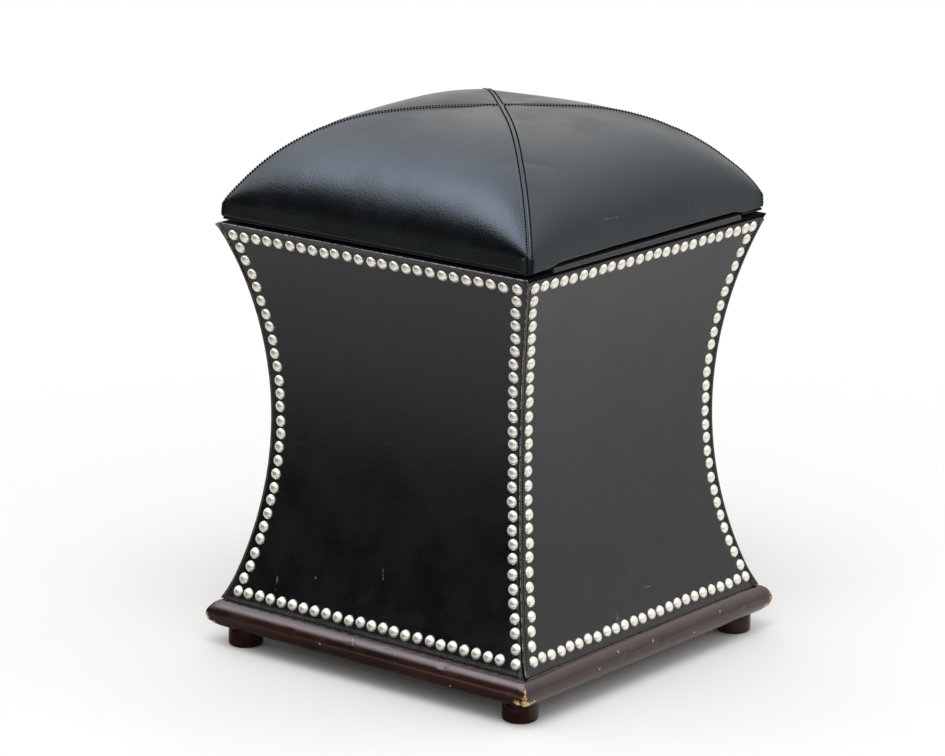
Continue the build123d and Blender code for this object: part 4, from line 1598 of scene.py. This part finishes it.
def floor_material(settings):
    """Pale floor that fades out to the bare background; mirrored rays see a shaded strip and a dark end."""
    material = bpy.data.materials.new("pale_floor")
    material.use_nodes = True
    maker = NodeMaker(material.node_tree)
    place = maker.place()
    colour = tuple(settings.floor_colour)
    shade = maker.mix(maker.noise(place, 6.0, 5.0, 0.6), shaded(colour, 0.975), colour)
    across = maker.split(place)[0]
    foot_line = maker.math("MULTIPLY", maker.step(across, 0.16, 0.20), maker.step(across, 0.36, 0.24))
    glossy = maker.add("ShaderNodeLightPath").outputs["Is Glossy Ray"]
    shade = maker.mix(maker.math("MULTIPLY", foot_line, glossy), shade, MIRRORED_SHADE)
    lit = maker.add("ShaderNodeBsdfDiffuse", {"Color": shade}).outputs[0]
    clear = maker.add("ShaderNodeBsdfTransparent").outputs[0]
    reach = maker.vector("LENGTH", place)
    fade = maker.step(reach, 0.30 * settings.floor_radius, 0.80 * settings.floor_radius)
    dark_side = maker.step(maker.vector("DOT_PRODUCT", place, heading(DARK_SIDE, 0)), 0.26, 0.42)
    fade = maker.math("MAXIMUM", fade, maker.math("MULTIPLY", dark_side, glossy))
    both = maker.add("ShaderNodeMixShader", {0: fade, 1: lit, 2: clear}).outputs[0]
    maker.add("ShaderNodeOutputMaterial", {"Surface": both})
    return material


def heading(azimuth, elevation):
    """Direction with the given angles in degrees, the first from +X towards +Y."""
    around, up = math.radians(azimuth), math.radians(elevation)
    return (math.cos(up) * math.cos(around), math.cos(up) * math.sin(around), math.sin(up))


def mirrored_room(maker, direction):
    """What polished things show: a pale room, bright overhead, with cool windows, an unlit end below them
    and a dim strip behind the camera."""
    level = maker.split(direction)[2]
    overhead = maker.math("POWER", maker.math("MAXIMUM", level, 0.0), 1.5)
    room = maker.mix(overhead, WALL, CEILING)
    flat = maker.vector("NORMALIZE", maker.vector("MULTIPLY", direction, (1, 1, 0)))
    around = maker.vector("DOT_PRODUCT", flat, heading(DARK_SIDE, 0))
    dark = maker.math("MULTIPLY", maker.step(around, 0.74, 0.88), maker.step(level, 0.54, 0.36))
    behind = maker.step(maker.vector("DOT_PRODUCT", flat, heading(CAMERA_SIDE, 0)), 0.52, 0.66)
    band = maker.math("MULTIPLY", maker.step(level, 0.15, 0.09), maker.step(level, -0.10, -0.04))
    dark = maker.math("MAXIMUM", dark, maker.math("MULTIPLY", behind, band))
    gloom = maker.mix(maker.step(level, -0.06, -0.55), UNLIT, LOW_GLOW)
    gloom = maker.mix(maker.step(level, -0.60, -0.90), gloom, FLOOR_GLOW)
    room = maker.mix(dark, room, gloom)
    for azimuth, elevation, colour in WINDOWS:
        towards = maker.vector("DOT_PRODUCT", direction, heading(azimuth, elevation))
        room = maker.mix(maker.step(towards, 0.895, 0.994), room, colour)
    return room


def studio_world():
    """Even light, dimmer towards the unlit end, and a white backdrop; mirrored rays see the room instead."""
    world = bpy.data.worlds.new("studio")
    world.use_nodes = True
    maker = NodeMaker(world.node_tree)
    direction = maker.add("ShaderNodeTexCoord").outputs["Generated"]
    room = mirrored_room(maker, direction)
    path = maker.add("ShaderNodeLightPath").outputs
    gloss = maker.math("MAXIMUM", path["Is Glossy Ray"], path["Is Transmission Ray"])
    dim = maker.vector("DOT_PRODUCT", direction, heading(DARK_SIDE, -6))
    even = maker.mix(maker.step(dim, 0.72, 0.94), EVEN_LIGHT, DIM_LIGHT)
    colour = maker.mix(path["Is Camera Ray"], maker.mix(gloss, even, room), BACKDROP)
    sky = maker.add("ShaderNodeBackground", {"Color": colour, "Strength": 1.0}).outputs[0]
    maker.add("ShaderNodeOutputWorld", {"Surface": sky})
    return world


def add_panel_light(name, azimuth, elevation, distance, size, power, colour):
    """Soft rectangular light that faces the lid from a direction and isn't mirrored."""
    light = bpy.data.lights.new(name, "AREA")
    light.shape = "RECTANGLE"
    light.size, light.size_y = size
    light.energy = power
    light.color = colour
    lamp = link(name, light)
    back = Vector(heading(azimuth, elevation))
    lamp.location = Vector((0, 0, gore_low.z)) + back * distance
    lamp.rotation_euler = back.to_track_quat("Z", "Y").to_euler()
    lamp.visible_camera = False
    lamp.visible_glossy = False


class STOOL_OT_stage(bpy.types.Operator):
    """Set the floor, the lights and the camera"""

    bl_idname = "stool.stage"
    bl_label = "Stage"

    def execute(self, context):
        settings = context.scene.stool_stage
        scene = context.scene
        mesh = bpy.data.meshes.new("floor")
        form = bmesh.new()
        bmesh.ops.create_circle(form, cap_ends=True, segments=96, radius=settings.floor_radius)
        form.to_mesh(mesh)
        form.free()
        mesh.materials.append(floor_material(settings))
        link("floor", mesh)
        scene.world = studio_world()
        add_panel_light("softbox", 32, 62, 2.4, (2.0, 1.35), settings.key_power, (0.97, 0.99, 1.0))
        add_panel_light("side_panel_light", 135, 12, 3.0, (2.4, 1.6), settings.fill_power, (1.0, 0.98, 0.95))
        self.camera(scene, settings)
        scene.view_settings.view_transform = "Standard"
        return {"FINISHED"}

    def camera(self, scene, settings):
        """Camera that looks at the stool's axis from its azimuth and elevation, turned a little."""
        back = Vector(heading(math.degrees(settings.azimuth), math.degrees(settings.elevation)))
        eye = bpy.data.cameras.new("camera")
        eye.sensor_width = SENSOR
        eye.lens = settings.lens
        eye.shift_x = settings.shift
        camera = link("camera", eye)
        camera.location = Vector((0, 0, settings.target_height)) + back * settings.distance
        facing = back.to_track_quat("Z", "Y").to_matrix().to_4x4()
        camera.rotation_euler = (facing @ Matrix.Rotation(settings.roll, 4, "Z")).to_euler()
        scene.camera = camera


STEPS = (
    STOOL_OT_lid_cushion,
    STOOL_OT_side_leather,
    STOOL_OT_nails,
    STOOL_OT_base,
    STOOL_OT_inside,
    STOOL_OT_hinge,
    STOOL_OT_stage,
)


class STOOL_PT_panel(bpy.types.Panel):
    """Lists the stool's steps"""

    bl_idname = "STOOL_PT_panel"
    bl_label = "Storage stool"
    bl_space_type = "VIEW_3D"
    bl_region_type = "UI"
    bl_category = "Stool"

    def draw(self, context):
        for step in STEPS:
            self.layout.operator(step.bl_idname)


SETTINGS = {
    "stool_lid": StoolLidSettings,
    "stool_side": StoolSideSettings,
    "stool_wood": StoolWoodSettings,
    "stool_stage": StoolStageSettings,
}
CLASSES = (*SETTINGS.values(), *STEPS, STOOL_PT_panel)


def register():
    for kind in CLASSES:
        bpy.utils.register_class(kind)
    for name, kind in SETTINGS.items():
        setattr(bpy.types.Scene, name, PointerProperty(type=kind))


def unregister():
    for name in SETTINGS:
        delattr(bpy.types.Scene, name)
    for kind in reversed(CLASSES):
        bpy.utils.unregister_class(kind)


def main():
    register()
    bpy.ops.stool.lid_cushion()
    bpy.ops.stool.side_leather()
    bpy.ops.stool.nails()
    bpy.ops.stool.base()
    bpy.ops.stool.inside()
    bpy.ops.stool.hinge()
    bpy.ops.stool.stage()


if __name__ == "__main__":
    main()
